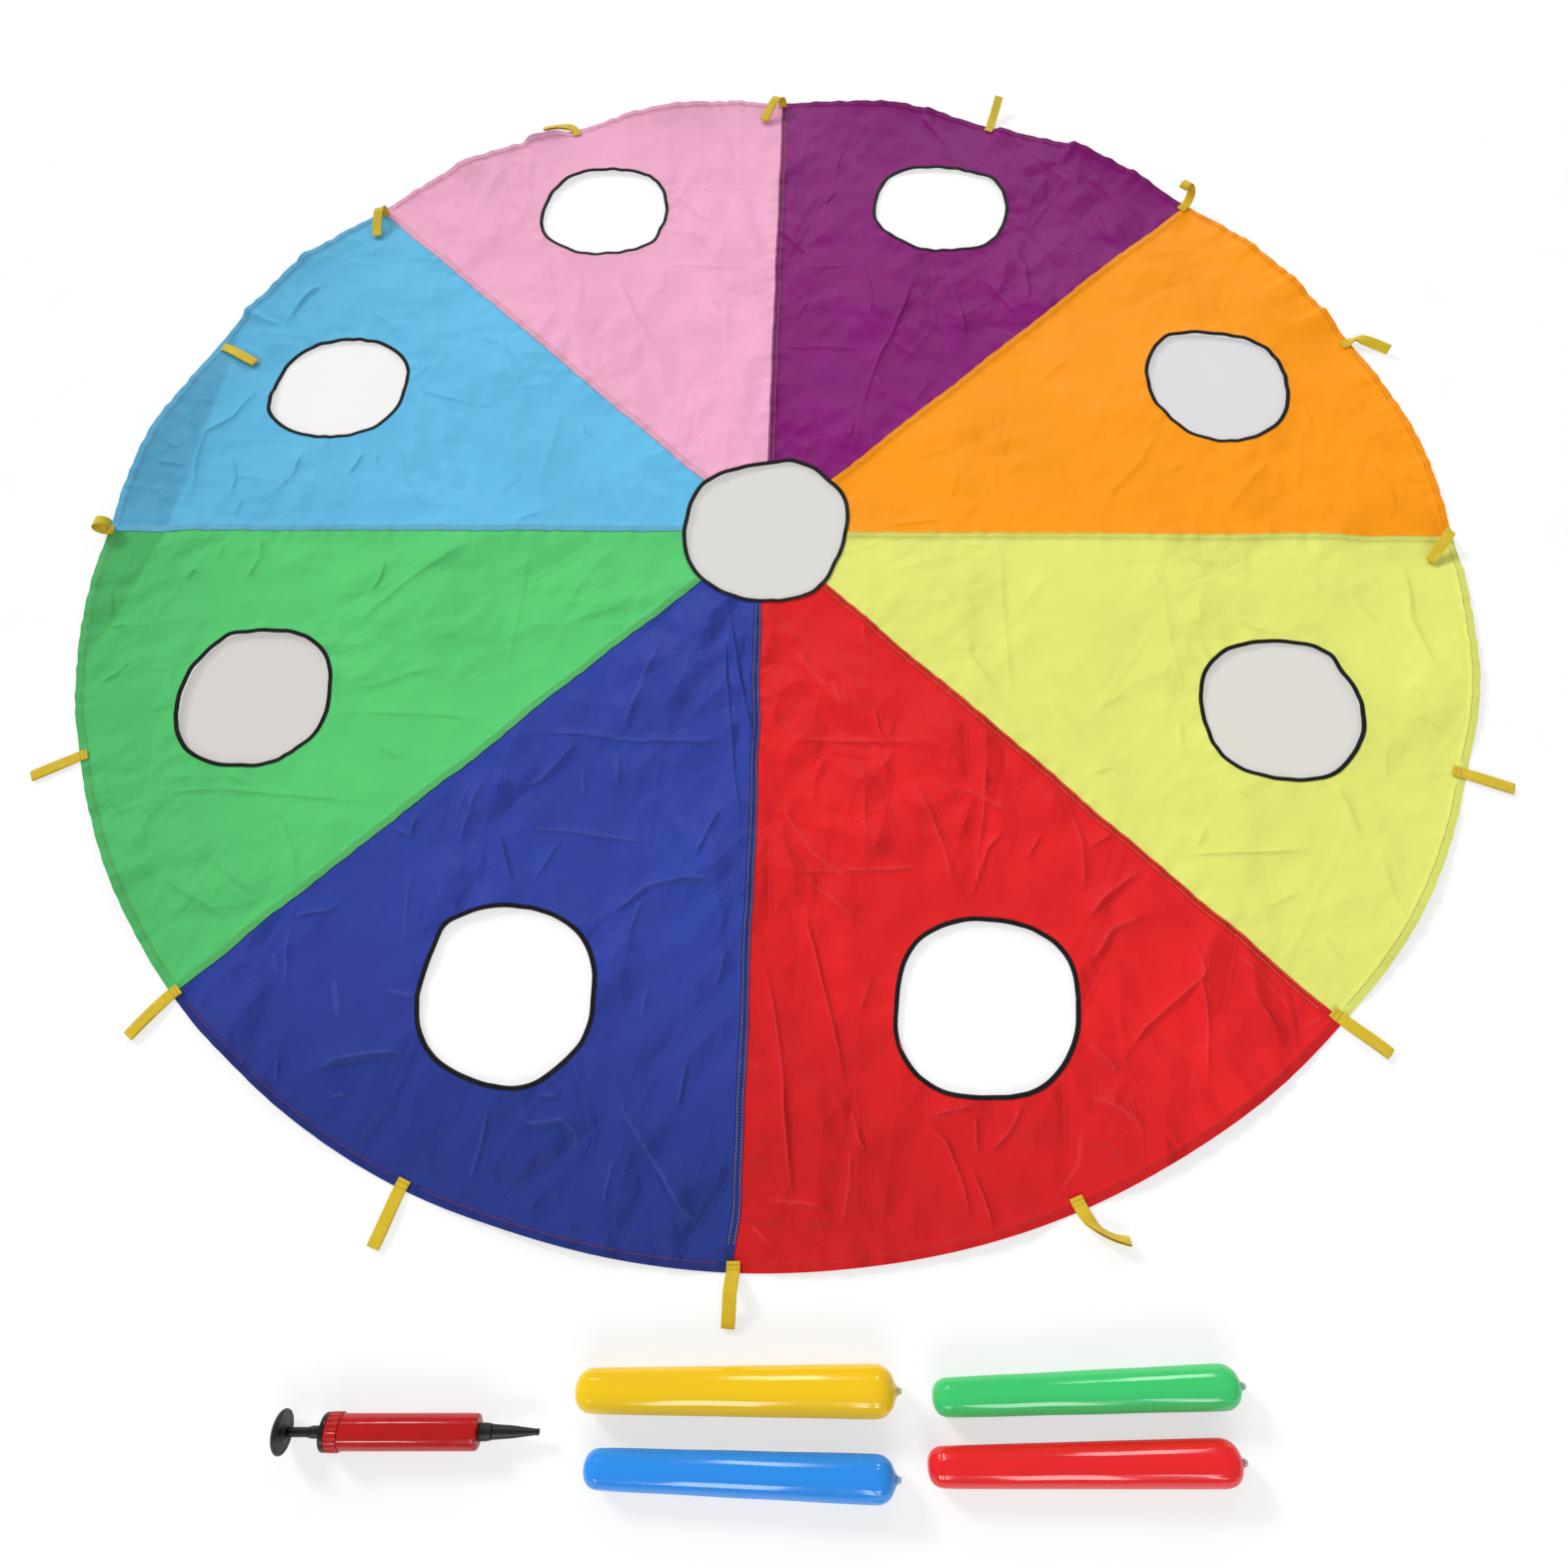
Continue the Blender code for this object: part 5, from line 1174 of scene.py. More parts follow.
def build_canopy_stitches():
    hems, seams = [], []
    for number in range(8):
        line = even_arc(HEM_ROW, 0.006, PANEL_TURN - 0.014)
        hems.append((own_frame(line, -number), number))
        for distance in SEAM_ROWS:
            line = beside_far_seam(CENTRE_RADIUS + 9 * MM, RIM - 2 * MM, distance)
            seams.append((own_frame(line, -number), number))
    return [canopy_stitches("hem", hems, HEM_THREAD), canopy_stitches("seam", seams, SEAM_THREAD)]


# Webbing loops, as the solids have them

LOOP_LENGTH = 91 * MM
LOOP_WIDTH = 18 * MM
WEBBING = 1.2 * MM
HALF_THICK = 0.55 * MM
LOOP_GAP = 1.8 * MM
SEWN = 15 * MM
LOOP_TOE = LOOP_LENGTH - 2.2 * MM
# By this share of its length a loop's width has turned with the way that its far end heads.
TURNED_BY = 0.45
# Each loop's lie from its stitches on: outward, sideways and up as shares of LOOP_LENGTH, then the
# webbing's tilt in degrees.
LOOP_PATH_SHARES = (
    ((0.01, 0, 0.09, 0), (0, -0.03, 0.18, 0), (-0.07, -0.12, 0.22, 0), (-0.20, -0.30, 0.15, 0),
     (-0.35, -0.50, 0.06, 0), (-0.42, -0.60, 0.04, 0)),
    ((0.12, 0, 0.01, 0), (0.25, -0.02, 0.07, -30), (0.40, -0.11, 0.09, 15), (0.58, -0.31, 0.08, 45),
     (0.77, -0.59, 0.08, 45)),
    ((0.12, 0, 0.01, 0), (0.26, 0.02, 0.07, 0), (0.31, 0.04, 0.20, 0), (0.28, 0.08, 0.34, 0),
     (0.20, 0.11, 0.45, 0), (0.08, 0.12, 0.47, 0), (0.02, 0.12, 0.39, 0)),
    ((0.13, 0, 0, 0), (0.40, 0.03, 0.06, 5), (0.70, 0.06, 0.16, 8), (0.94, 0.09, 0.24, 10)),
    ((0.01, 0, 0.09, 0), (0, 0.04, 0.18, 0), (-0.08, 0.13, 0.22, 0), (-0.24, 0.24, 0.15, 0),
     (-0.42, 0.34, 0.07, 0), (-0.54, 0.40, 0.04, 0)),
    ((0.12, 0, 0, 0), (0.27, 0.07, 0.02, 0), (0.36, 0.24, 0.03, 10), (0.40, 0.46, 0.05, 20),
     (0.43, 0.72, 0.05, 20)),
    ((0.01, 0, 0.09, 0), (0, 0.04, 0.18, 0), (-0.06, 0.14, 0.22, 0), (-0.20, 0.30, 0.16, 0),
     (-0.38, 0.47, 0.08, 0), (-0.52, 0.58, 0.04, 0)),
    ((-0.12, 0, 0.01, 0), (-0.40, 0.05, 0.04, 0), (-0.70, 0.10, 0.04, 0), (-0.98, 0.14, 0.03, 0)),
    ((0.09, 0, 0, 0), (0.17, 0, 0.03, 0), (0.21, 0, 0.11, 0), (0.17, 0, 0.19, 0),
     (0.09, -0.01, 0.22, 0), (0.01, -0.015, 0.18, 0), (0, -0.02, 0.10, 0), (0.06, -0.025, 0.07, 0),
     (0.11, -0.03, 0.10, 0)),
    ((0.12, 0, 0, 0), (0.40, 0.03, 0, 0), (0.70, 0.06, 0, 0), (0.99, 0.09, 0, 0)),
    ((0.12, 0, 0, 0), (0.40, 0.04, 0.02, 0), (0.70, 0.09, 0.03, 5), (0.96, 0.13, 0.02, 5)),
    ((0.12, 0, 0, 0), (0.40, 0.03, 0.02, 5), (0.70, 0.06, 0.02, 5), (0.98, 0.08, 0.01, 0)),
    ((0.12, 0, 0.03, 0), (0.30, -0.01, 0.21, 0), (0.42, -0.02, 0.20, 0), (0.64, -0.03, 0.09, 0),
     (0.85, -0.04, 0.01, 0)),
    ((0.12, 0, 0.01, 0), (0.34, 0.02, 0.06, -25), (0.54, 0.10, 0.10, -55), (0.72, 0.26, 0.11, -60),
     (0.86, 0.47, 0.10, -50)),
    ((0.12, 0, 0, 0), (0.40, 0.02, 0.01, 0), (0.70, 0.05, 0.02, -5), (0.99, 0.07, 0.02, -5)),
    ((0.12, 0, 0, 0), (0.40, 0.01, 0.01, 0), (0.70, 0.02, 0.01, 0), (0.99, 0.03, 0.01, 0)),
)


def loop_frames(shares, distances):
    """Places along a loop at those distances, with its run, width and thickness directions."""
    knots = np.array([(0, 0, 0, shares[0][3])] + list(shares), float)
    knots = np.vstack([2 * knots[0] - knots[1], knots, 2 * knots[-1] - knots[-2]])
    t = np.linspace(0, 1, 13)[:-1, None]
    path = np.vstack([spline(*four, t) for four in zip(knots, knots[1:], knots[2:], knots[3:])]
                     + [knots[-2:-1]])
    steps = np.concatenate([[0], np.cumsum(np.linalg.norm(np.diff(path[:, :3], axis=0), axis=1))])
    path[:, :3] *= LOOP_LENGTH / steps[-1]
    steps *= LOOP_LENGTH / steps[-1]
    runs = np.empty((len(path), 3))
    runs[1:-1] = path[2:, :3] - path[:-2, :3]
    runs[0], runs[-1] = path[1, :3] - path[0, :3], path[-1, :3] - path[-2, :3]
    runs = unit(runs)
    heading = (math.atan2(runs[-1][1], runs[-1][0]) + QUARTER) % math.pi - QUARTER
    run = unit(read_line(runs, steps, distances))
    place = read_line(path[:, :3], steps, distances) + run * np.minimum(distances, 0)[:, None]
    tilt = np.radians(np.interp(distances, steps, path[:, 3]))
    turn = heading * smooth(distances / LOOP_LENGTH / TURNED_BY)
    width = np.stack([-np.sin(turn) * np.cos(tilt), np.cos(turn) * np.cos(tilt), np.sin(tilt)],
                     axis=1)
    width = unit(width - run * (width * run).sum(axis=1)[:, None])
    return place, run, width, np.cross(run, width)


def webbing_section():
    """The webbing's closed outline, with rounded edges and faint ribs: places across it and up."""
    edge = [spot(1, a) for a in np.linspace(-QUARTER, QUARTER, 5)]
    half = LOOP_WIDTH / 2 - HALF_THICK
    flats = np.linspace(-half, half, 7)
    section = np.array([(f, -HALF_THICK) for f in flats[:-1]]
                       + [(half + HALF_THICK * c, HALF_THICK * s) for c, s in edge]
                       + [(f, HALF_THICK) for f in flats[::-1][1:-1]]
                       + [(-half - HALF_THICK * c, -HALF_THICK * s) for c, s in edge])
    ribs = 0.06 * MM * np.cos(section[:, 0] / half * 2.5 * TAU) * np.sign(section[:, 1])
    return section[:, 0], section[:, 1] + ribs


def strap_route():
    """One strap out along a loop, round its far end and back.

    Distances along the loop, offsets from its middle, turns of the strap's face, and distances
    along the strap itself.
    """
    out = np.concatenate([np.linspace(-WEBBING, SEWN, 6), np.linspace(SEWN, LOOP_TOE, 34)[1:]])
    share = np.clip((out - SEWN) / (LOOP_LENGTH - SEWN), 0, 1)
    slot = LOOP_GAP / 2 * np.sqrt(np.sin(math.pi * share ** 1.5) + share / 2)
    slot = slot + HALF_THICK + 0.02 * MM
    bend = np.linspace(-QUARTER, QUARTER, 9)[1:-1]
    reach = slot[-1]
    return (np.concatenate([out, LOOP_TOE + reach * np.cos(bend), out[::-1]]),
            np.concatenate([-slot, reach * np.sin(bend), slot[::-1]]),
            np.concatenate([np.zeros(len(out)), bend + QUARTER, np.full(len(out), math.pi)]),
            np.concatenate([out, LOOP_TOE + np.linspace(0, math.pi * reach, 9)[1:-1],
                            2 * LOOP_TOE + math.pi * reach - out[::-1]]))


def loop_stitches(shares, top):
    """Two rows of five stitches where a loop is sewn down."""
    starts, ends, sides, ups = [], [], [], []
    for distance in (3.5 * MM, 10 * MM):
        place, run, width, thick = (v[0] for v in loop_frames(shares, np.array([distance])))
        for step in range(5):
            at = place + thick * top + width * (LOOP_WIDTH * (step - 2) / 5.4)
            starts.append(at - width * 1.3 * MM)
            ends.append(at + width * 1.3 * MM)
            sides.append(run)
            ups.append(thick)
    return stitches(starts, ends, np.array(sides), np.array(ups))


def build_handles(material, thread):
    """Each loop is one strap, folded at its far end, with its two ends sewn together on the hem."""
    across, up = webbing_section()
    distances, offset, face_turn, travel = strap_route()
    clipped = np.minimum(distances, LOOP_LENGTH - 0.01 * MM)
    weave = pairs(np.repeat(travel, len(across)), np.tile(across, len(travel)))
    for number, shares in enumerate(LOOP_PATH_SHARES):
        place, run, width, thick = loop_frames(shares, clipped)
        place = place + run * (distances - clipped)[:, None] + thick * offset[:, None]
        normal = thick * np.cos(face_turn)[:, None] + run * np.sin(face_turn)[:, None]
        grid = (place[:, None] + width[:, None] * across[None, :, None]
                + normal[:, None] * up[None, :, None])
        on_seam = number % 2 == 0
        seat = (LAP + CLOTH if on_seam else 2 * CLOTH) + 0.5 * MM + WEBBING
        turn = HANDLE_TURN * number
        sewn = (Matrix.Translation(CENTRE + Vector((*spot(HEM_LINE, turn), seat)))
                @ Matrix.Rotation(turn, 4, "Z"))
        name, body = f"loop_{number + 1:02d}", f"handle_{number + 1:02d}"
        new_piece(name, placed(grid.reshape(-1, 3), sewn),
                  tube_faces(len(travel), len(across), False, caps=True), material, body,
                  [body], [("weave", weave)])
        verts, faces = loop_stitches(shares, offset[-1] + HALF_THICK)
        new_piece(f"{name}_stitches", placed(verts, sewn), faces, thread, body)


# Turned pieces

def rounded(corners, steps=5):
    """A profile of (along, radius, fillet) corners with each fillet drawn as a smooth curve."""
    line = []
    for i, (x, y, fillet) in enumerate(corners):
        if not fillet or i in (0, len(corners) - 1):
            line.append((x, y))
            continue
        here = Vector((x, y))
        before, after = Vector(corners[i - 1][:2]) - here, Vector(corners[i + 1][:2]) - here
        reach = min(fillet, 0.48 * before.length, 0.48 * after.length)
        start, end = here + before.normalized() * reach, here + after.normalized() * reach
        for k in range(steps + 1):
            t = k / steps
            line.append(tuple(start * (1 - t) ** 2 + here * 2 * t * (1 - t) + end * t * t))
    return line


def turned(name, profile, place, material, body, slot=None, replaces=(), sides=64, ring=False,
           shape=None):
    """Revolves a profile about its local X axis, puts it where place says and closes it."""
    profile = np.array(profile, float)
    turns = np.linspace(0, TAU, sides + 1)[:-1]
    along = np.tile(profile[:, 0], (sides, 1))
    radius = np.tile(profile[:, 1], (sides, 1))
    if shape:
        along, radius = shape(along, radius, turns[:, None])
    grid = np.stack([along, radius * np.sin(turns)[:, None], radius * np.cos(turns)[:, None]],
                    axis=2)
    mesh = bpy.data.meshes.new(name)
    mesh.from_pydata(placed(grid.reshape(-1, 3), place).tolist(), [],
                     tube_faces(sides, len(profile), True, closed_around=ring))
    bm = bmesh.new()
    bm.from_mesh(mesh)
    bmesh.ops.remove_doubles(bm, verts=bm.verts, dist=1e-6)
    bmesh.ops.recalc_face_normals(bm, faces=bm.faces)
    bm.to_mesh(mesh)
    bm.free()
    return dress(name, mesh, material, body, replaces)


# Bats, as the solids have them

BAT_LENGTH = 0.385
BAT_SMALL = 22.4 * MM
BAT_LARGE = 26.5 * MM
FILM = 1 * MM
VALVE_RADIUS = 4 * MM
BORE = 2.4 * MM
# Each bat's column and row, its shift along and across in large radii, its turn in degrees, and
# its length's and radii's shares of the common ones.
BAT_LAYOUT = {
    "yellow": (0, 0, -0.37, -0.29, 1.6, 1.029, 1.13),
    "green": (1, 0, 0.18, -0.12, 3.6, 0.977, 0.97),
    "blue": (0, 1, 0.31, -0.33, 0.0, 0.978, 0.99),
    "red": (1, 1, -0.12, 0.18, 2.5, 0.971, 0.99),
}
BAT_RGB = {"yellow": (240, 196, 3), "green": (56, 198, 108), "blue": (34, 140, 234),
           "red": (232, 24, 30)}
# How far the stem and the plug stand out of the film
STEM_OUT = 4.5 * MM
PLUG_OUT = 2.5 * MM
BAT_COLUMN_X = -0.178
COLUMN_PITCH = BAT_LENGTH + STEM_OUT + PLUG_OUT + 35 * MM
FIRST_ROW = -(HEM_LINE + LOOP_LENGTH + 26 * MM + BAT_LARGE)
ROW_PITCH = 2 * BAT_LARGE + 28 * MM
END_SHARE = 0.95
END_POWER = 0.85


def blown_end(radius, steps=16):
    """A blown end as (depth, radius) points, from the axis outward."""
    turns = np.linspace(0, QUARTER, steps + 1)
    return [(radius * END_SHARE * (1 - math.cos(a) ** END_POWER),
             radius * math.sin(a) ** END_POWER) for a in turns]


def bat_axis(name):
    """Where a bat's thin end stands and its axis runs, and its length and two radii."""
    column, row, along, across, turn, length_share, radius_share = BAT_LAYOUT[name]
    length = BAT_LENGTH * length_share
    small, large = BAT_SMALL * radius_share, BAT_LARGE * radius_share
    small_side = END_SHARE * small
    slope = math.asin((large - small) / (length - END_SHARE * large - small_side))
    local = Vector((BAT_COLUMN_X + column * COLUMN_PITCH + along * BAT_LARGE,
                    FIRST_ROW - row * ROW_PITCH + across * BAT_LARGE,
                    small * math.cos(slope) - small_side * math.sin(slope) + 0.2 * MM))
    return (Matrix.Translation(CENTRE + local) @ Matrix.Rotation(math.radians(turn), 4, "Z")
            @ Matrix.Rotation(-slope, 4, "Y")), length, small, large


def build_bats():
    clear = clear_surface()
    for number, name in enumerate(BAT_LAYOUT):
        place, length, thin, thick = bat_axis(name)
        hole = VALVE_RADIUS + GAP
        small, large = blown_end(thin), blown_end(thick)
        middle = [(small[-1][0] + (length - large[-1][0] - small[-1][0]) * t,
                   thin + (thick - thin) * t) for t in np.linspace(0, 1, 26)[1:-1]]
        nub = rounded([(length, 9 * MM, 0), (length + 0.2 * MM, 6.8 * MM, 1.2 * MM),
                       (length + 2.1 * MM, 6.0 * MM, 1.0 * MM), (length + 2.1 * MM, hole, 0)], 4)
        cap_end = [(length - depth, radius) for depth, radius in large[:0:-1] if radius > 9.5 * MM]
        outside = small + middle + cap_end + nub
        inside = [(small[0][0] + FILM, 0.0)]
        inside += [(depth + FILM, radius) for depth, radius in blown_end(thin - FILM, 6)[1:]]
        inside += [(length - depth - FILM, radius)
                   for depth, radius in blown_end(thick - FILM, 6)[:0:-1] if radius > hole]
        inside += [(length - FILM, hole)]

        def shape(along, radius, turns, phase=number, length=length):
            """Small puckers round the weld at each end, and a faint unevenness along the film."""
            outer = np.zeros(along.shape)
            outer[:, :len(outside)] = smooth((radius[:, :len(outside)] - 14 * MM) / (8 * MM))
            right, left = bell(along - length + 0.020, 0.011), bell(along - 0.016, 0.010)
            folds = np.sin(13 * turns + phase) * (0.6 + 0.4 * np.sin(3 * turns + 2 * phase))
            folds += 0.5 * np.sin(29 * turns - phase)
            waves = np.sin(3 * along / length * TAU + phase) * np.sin(2 * turns + phase)
            ease = np.sin(math.pi * np.clip(along / length, 0, 1)) ** 0.5
            return along, radius + outer * (0.42 * MM * folds * (right + 0.5 * left)
                                            + 0.22 * MM * waves * ease - 0.3 * MM * (right + left))

        turned(f"{name}_bat", outside + inside[::-1], place, film_surface(name, BAT_RGB[name]),
               f"bat_{name}", f"bat_{name}", [f"bat_{name}"], sides=96, shape=shape)
        end = length + STEM_OUT
        stem = rounded([(length - 8 * MM, BORE, 0), (length - 8 * MM, VALVE_RADIUS, 0.4 * MM),
                        (end - 1.2 * MM, VALVE_RADIUS, 0.3 * MM),
                        (end - 1.0 * MM, 4.5 * MM, 0.2 * MM), (end, 4.5 * MM, 0.3 * MM),
                        (end, BORE, 0)], 4)
        turned(f"{name}_valve", stem, place, clear, f"bat_{name}", "valve_clear",
               [f"bat_{name}_valve_stem"], sides=48, ring=True)
        seat = end + GAP
        pin = BORE - GAP
        plug = rounded([(seat - 7 * MM, 0, 0), (seat - 7 * MM, pin, 0.5 * MM),
                        (seat, pin, 0.2 * MM), (seat, 3.8 * MM, 0.4 * MM),
                        (seat + 1.1 * MM, 3.8 * MM, 0.3 * MM),
                        (seat + 1.5 * MM, 3.3 * MM, 0.3 * MM),
                        (seat + PLUG_OUT, 3.2 * MM, 0.6 * MM), (seat + PLUG_OUT, 0, 0)], 4)
        turned(f"{name}_plug", plug, place, clear, f"bat_{name}_plug", "valve_clear",
               [f"bat_{name}_valve_plug"], sides=48)


# Pump, as the solids have it, along its axis from the knob to the nozzle's tip

KNOB = 25.8 * MM
ROD = 5.6 * MM
BARREL = 20.4 * MM
WALL = 2 * MM
BORE_IN = BARREL - WALL
NECK = BARREL - 0.8 * MM
BUSH_START = 42 * MM
CAP_START = BUSH_START + 18.5 * MM
COLLAR_START = CAP_START + 7 * MM
BARREL_START = COLLAR_START + 16 * MM
BARREL_END = BARREL_START + 169 * MM
SHOULDER = 5 * MM
PISTON_END = BARREL_END - WALL - 10.5 * MM
PISTON_START = PISTON_END - 10 * MM
PISTON = BORE_IN - 0.6 * MM
DOME = 10 * MM
ROD_SEAT = 6 * MM
NOZZLE_BASE = 16 * MM
NOZZLE = 58 * MM
AIR_WAY = 2.2 * MM


def pump_axis():
    """Where the pump's knob and barrel touch the floor puts its axis."""
    front = BARREL_END - SHOULDER
    slope = math.asin((KNOB - BARREL) / (front - DOME))
    tip = BARREL_END + NOZZLE_BASE + GAP + NOZZLE
    local = Vector((BAT_COLUMN_X - 51 * MM - tip, FIRST_ROW - ROW_PITCH / 2 - 22.4 * MM,
                    KNOB * math.cos(slope) + DOME * math.sin(slope) + 0.2 * MM))
    return (Matrix.Translation(CENTRE + local) @ Matrix.Rotation(math.radians(1.6), 4, "Z")
            @ Matrix.Rotation(slope, 4, "Y"))


def build_pump():
    place = pump_axis()
    black = black_surface("pump_plastic", (7, 7, 8), 0.26), "pump_black"
    matte = black_surface("knob_plastic", (11, 11, 12), 0.4), "pump_black"
    rubber = black_surface("seal_rubber", (16, 16, 16), 0.6), "seal_black"
    red = barrel_surface("barrel_plastic", (190, 5, 8), 0.12), "pump_red"
    collar_red = barrel_surface("collar_plastic", (184, 5, 8), 0.08), "pump_red"

    def part(name, corners, look, body="pump", node=None, steps=5, **options):
        material, slot = look
        turned(name, rounded(corners, steps), place, material, body, slot,
               [node or f"pump_{name}"], **options)

    shaft = ROD + GAP
    dome = [(DOME * (1 - math.cos(a)), KNOB * math.sin(a), 0)
            for a in np.linspace(0, QUARTER, 15)[:-1]]
    part("knob", dome + [
        (DOME, KNOB, 2 * MM), (13 * MM, KNOB - 1.3 * MM, 1 * MM), (12.4 * MM, 20.5 * MM, 2 * MM),
        (12.8 * MM, 10.5 * MM, 2 * MM), (16 * MM, 8.7 * MM, 1 * MM), (16 * MM, shaft, 0),
        (7 * MM, shaft, 0), (7 * MM, 0, 0)], matte, "plunger", sides=72)
    start, end = 7 * MM + GAP, PISTON_START + ROD_SEAT - GAP
    part("rod", [(start, 0, 0), (start, ROD, 1 * MM), (end, ROD, 1 * MM), (end, 0, 0)],
         black, "plunger")

    middle = (PISTON_START + PISTON_END) / 2
    groove = PISTON - 2.2 * MM
    low, high = middle - 1.55 * MM, middle + 1.55 * MM
    part("piston", [
        (PISTON_START + ROD_SEAT, 0, 0), (PISTON_START + ROD_SEAT, shaft, 0),
        (PISTON_START, shaft, 0), (PISTON_START, PISTON, 0.6 * MM), (low, PISTON, 0.2 * MM),
        (low, groove, 0), (high, groove, 0), (high, PISTON, 0.2 * MM),
        (PISTON_END, PISTON, 0.8 * MM), (PISTON_END, 0, 0)], black, "plunger")
    low, high = middle - 1.25 * MM, middle + 1.25 * MM
    part("seal_ring", [
        (low, groove + GAP, 0), (low, PISTON, 0.6 * MM), (middle, BORE_IN - GAP, 0.8 * MM),
        (high, PISTON, 0.6 * MM), (high, groove + GAP, 0)],
         rubber, "plunger", "pump_piston_seal", ring=True)

    bush, cap = 7.2 * MM, BARREL + 1.5 * MM
    plug = COLLAR_START + 6 * MM
    part("rear_cap", [
        (BUSH_START, shaft, 0), (BUSH_START, bush - 1.2 * MM, 0.8 * MM),
        (BUSH_START + 5.5 * MM, bush, 0.8 * MM), (CAP_START - 1.5 * MM, bush, 1.2 * MM),
        (CAP_START, bush + 1.8 * MM, 1 * MM), (CAP_START, cap, 4.4 * MM),
        (COLLAR_START, cap, 0.5 * MM), (COLLAR_START, BORE_IN - GAP, 0),
        (plug, BORE_IN - GAP, 0.5 * MM), (plug, shaft, 0)], black, ring=True, sides=72)

    def ribs(along, radius, turns):
        outer = radius > NECK + 1.2 * MM
        wave = 1.1 * MM * (0.5 + 0.5 * np.cos(20 * turns)) ** 2
        return along, np.where(outer, radius - wave, radius)

    start, end = COLLAR_START + GAP, BARREL_START - GAP
    collar = BARREL + 1.9 * MM
    part("collar", [
        (start, NECK + GAP, 0), (start, collar, 1 * MM), (end - 1.4 * MM, collar, 0.5 * MM),
        (end, BARREL + 1.5 * MM, 0.6 * MM), (end, NECK + GAP, 0)],
         collar_red, ring=True, sides=192, shape=ribs)

    boss = 6.2 * MM
    boss_end = BARREL_END + 4 * MM
    part("barrel", [
        (start, BORE_IN, 0), (start, NECK, 0.3 * MM), (BARREL_START, NECK, 0.1 * MM),
        (BARREL_START, BARREL, 0.5 * MM), (BARREL_START + 85 * MM, BARREL, 0),
        (BARREL_END, BARREL, SHOULDER), (BARREL_END, boss, 0), (boss_end, boss, 0.3 * MM),
        (boss_end, AIR_WAY, 0), (BARREL_END - WALL, AIR_WAY, 0),
        (BARREL_END - WALL, BORE_IN, SHOULDER - WALL)], red, ring=True, sides=96, steps=8)

    low, high = boss_end + GAP, boss_end + GAP + 1 * MM
    part("valve_disc", [
        (low, 0, 0), (low, boss - GAP, 0.2 * MM), (high, boss - GAP, 0.2 * MM), (high, 0, 0)],
         rubber, sides=40)
    start, end = BARREL_END + GAP, BARREL_END + NOZZLE_BASE
    seat, socket = high + GAP, 5.3 * MM
    part("nozzle_base", [
        (start, boss + GAP, 0), (start, 10.1 * MM, 0.5 * MM),
        (start + 9.5 * MM, 10.1 * MM, 1.5 * MM), (end, 9.0 * MM, 0.5 * MM), (end, socket, 0),
        (seat + 2.4 * MM, socket, 0), (seat + 2.4 * MM, AIR_WAY, 0), (seat, AIR_WAY, 0),
        (seat, boss + GAP, 0)], matte, ring=True)
    start = end + GAP
    tip = start + NOZZLE
    taper = [(start + NOZZLE * share, (8.6 - 5.0 * narrowing) * MM, 3 * MM)
             for share, narrowing in ((0.0, 0.0), (0.45, 0.33), (0.78, 0.80), (0.90, 0.97))]
    part("nozzle", [
        (start - 7.4 * MM, 2 * MM, 0), (start - 7.4 * MM, 5 * MM, 0.3 * MM), (start, 5 * MM, 0),
        *taper, (tip - 3.2 * MM, 3.6 * MM, 0.5 * MM), (tip - 2.8 * MM, 4.0 * MM, 0.3 * MM),
        (tip - 0.8 * MM, 3.9 * MM, 0.6 * MM), (tip, 3.0 * MM, 0.3 * MM), (tip, 2 * MM, 0)],
         matte, ring=True)


# Studio

# How much of the floor's white takes shadows; the rest glows to the camera.
FLOOR_LIT = 0.38
FLOOR_SIDE = 40
# The grey that the photo shows on the floor in five of the openings.
FLOOR_GREYS = {0: (224, 222, 224), 3: (246, 245, 243), 4: (216, 212, 207), 7: (223, 220, 214),
               8: (221, 220, 216)}
WORLD_LIGHT = 0.446
SUN_POWER = 1.68
SUN_WAY = Vector((0.62, -0.55, -0.52))
# Soft boxes: where each stands, its width, height and power. Each marks one bat column or the pump.
LAMPS = {
    "back_left": ((-0.75, 7.4, 4.3), 0.75, 3.2, 70), "back_right": ((2.2, 7.4, 4.3), 0.95, 3.2, 88),
    "back_pump": ((-3.64, 7.4, 4.3), 1.4, 0.8, 60), "front_pump": ((-2.9, -7.5, 4.5), 1.1, 0.8, 46),
    "front_left": ((-0.85, -7.5, 4.5), 0.9, 3.2, 74),
    "front_middle": ((0.45, -7.5, 4.5), 0.42, 3.2, 34),
    "front_right": ((1.8, -7.5, 4.5), 0.85, 3.2, 70),
    "front_far_right": ((2.98, -7.5, 4.5), 0.38, 3.2, 32),
}
LAMP_AIM = Vector((0, -0.6, 0))


def floor_surface(name, rgb):
    """Paper-white ground: part of it glows to the camera, and the rest takes shadows."""
    made = Surface(name, rgb, 0.8, Specular_IOR_Level=0.1)
    made.patches(made.noise(made.place(), 9, 3), 0.4, 0.8, 0.35, darker(rgb, 0.985))
    glow = made.node("ShaderNodeEmission", {"Strength": 1, "Color": made.colour})
    seen = made.node("ShaderNodeLightPath").outputs["Is Camera Ray"]
    share = made.node("ShaderNodeMath", {0: seen, 1: 1 - FLOOR_LIT}, operation="MULTIPLY")
    mix = made.node("ShaderNodeMixShader", {"Fac": share.outputs[0], 1: made.shader.outputs[0],
                                            2: glow.outputs[0]})
    output = made.tree.nodes["Material Output"]
    made.tree.links.new(mix.outputs[0], output.inputs["Surface"])
    return made.material


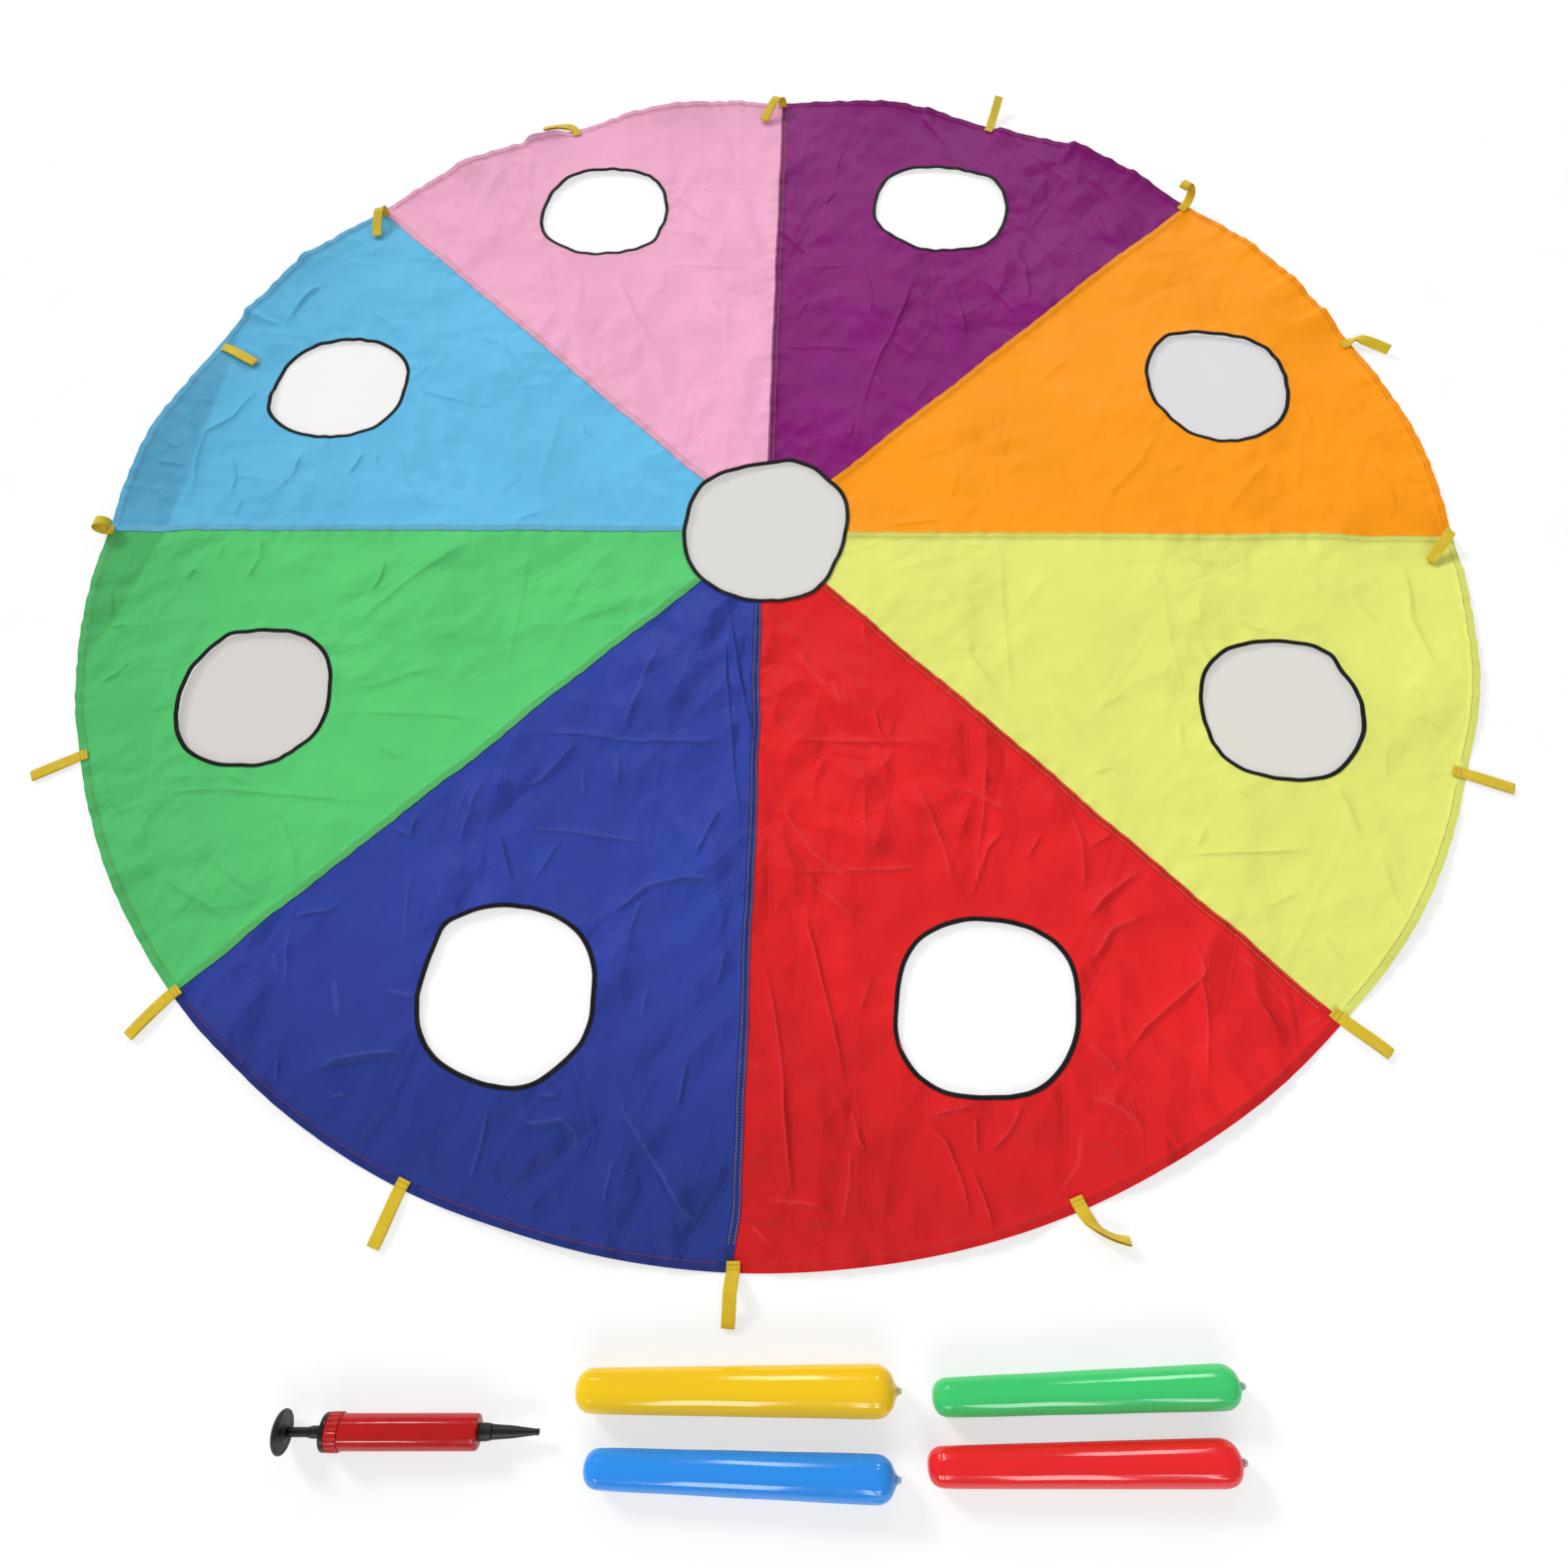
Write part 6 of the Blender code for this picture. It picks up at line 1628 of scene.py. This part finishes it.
def stage_piece(name, corners, rgb, z=0.0):
    """A flat piece of the ground, which isn't part of the set."""
    mesh = bpy.data.meshes.new(name)
    mesh.from_pydata(corners, [], [tuple(range(len(corners)))])
    mesh.materials.append(floor_surface("studio_floor" if name == "floor" else name, rgb))
    made = put(name, mesh)
    made.location.z = z


def aimed(name, light, way):
    made = put(name, light)
    made.rotation_euler = way.to_track_quat("-Z", "Y").to_euler()
    return made


def build_studio():
    """A white floor that keeps shadows, pale grey where the openings show it, and soft lamps."""
    scene = bpy.context.scene
    scene.view_settings.view_transform = "Standard"
    side = FLOOR_SIDE
    stage_piece("floor", [(-side, -side, 0), (side, -side, 0), (side, side, 0), (-side, side, 0)],
                (255, 255, 255), -0.05 * MM)
    for number, rgb in FLOOR_GREYS.items():
        edge = circle(*HOLES[number], HOLE_RADII[number] + 4 * MM, np.linspace(0, TAU, 65)[:-1])
        stage_piece(f"floor_patch_{number}", laid(edge, np.full(64, -0.02 * MM)).tolist(), rgb)

    world = bpy.data.worlds.new("studio")
    scene.world = world
    world.use_nodes = True
    tree = world.node_tree
    lit = tree.nodes["Background"]
    lit.inputs["Color"].default_value = (1, 1, 1, 1)
    lit.inputs["Strength"].default_value = WORLD_LIGHT
    seen = add_node(tree, "ShaderNodeBackground", {"Color": (1, 1, 1, 1)})
    rays = add_node(tree, "ShaderNodeLightPath").outputs
    either = add_node(tree, "ShaderNodeMath", {0: rays["Is Camera Ray"],
                                               1: rays["Is Transmission Ray"]}, operation="MAXIMUM")
    mix = add_node(tree, "ShaderNodeMixShader", {"Fac": either.outputs[0], 1: lit.outputs[0],
                                                 2: seen.outputs[0]})
    tree.links.new(mix.outputs[0], tree.nodes["World Output"].inputs["Surface"])

    for name, (at, width, height, power) in LAMPS.items():
        lamp = bpy.data.lights.new(name, "AREA")
        lamp.shape = "RECTANGLE"
        lamp.size, lamp.size_y = width, height
        lamp.energy = power
        aimed(name, lamp, LAMP_AIM - Vector(at)).location = at
    sun = bpy.data.lights.new("window_side", "SUN")
    sun.energy = SUN_POWER
    sun.angle = math.radians(12)
    aimed("window_side", sun, SUN_WAY).visible_glossy = False


def build_camera():
    """The photograph's view: a fitted place, tilt and roll."""
    elevation, roll, yaw = (math.radians(v) for v in (64.92, 3.69, -4.87))
    run, rise = math.cos(elevation), math.sin(elevation)
    right = Vector((math.cos(yaw), -math.sin(yaw), 0))
    up = Vector((math.sin(yaw) * rise, math.cos(yaw) * rise, run))
    away = Vector((math.sin(yaw) * run, math.cos(yaw) * run, -rise))
    side = right * math.cos(roll) - up * math.sin(roll)
    top = right * math.sin(roll) + up * math.cos(roll)
    data = bpy.data.cameras.new("camera")
    data.lens = 24.69
    data.sensor_width = 36
    camera = put("camera", data)
    camera.matrix_world = Matrix((side, top, -away)).transposed().to_4x4()
    camera.location = CENTRE + Vector((0.1094, -1.2127, 1.5477))
    bpy.context.scene.camera = camera


def main():
    build_camera()
    build_studio()
    panels = build_panels()
    bindings = build_bindings(tape_surface())
    hem_row, seam_row = build_canopy_stitches()
    build_handles(webbing_surface(), thread_surface("loop_thread", HEM_THREAD))
    build_bats()
    build_pump()


main()
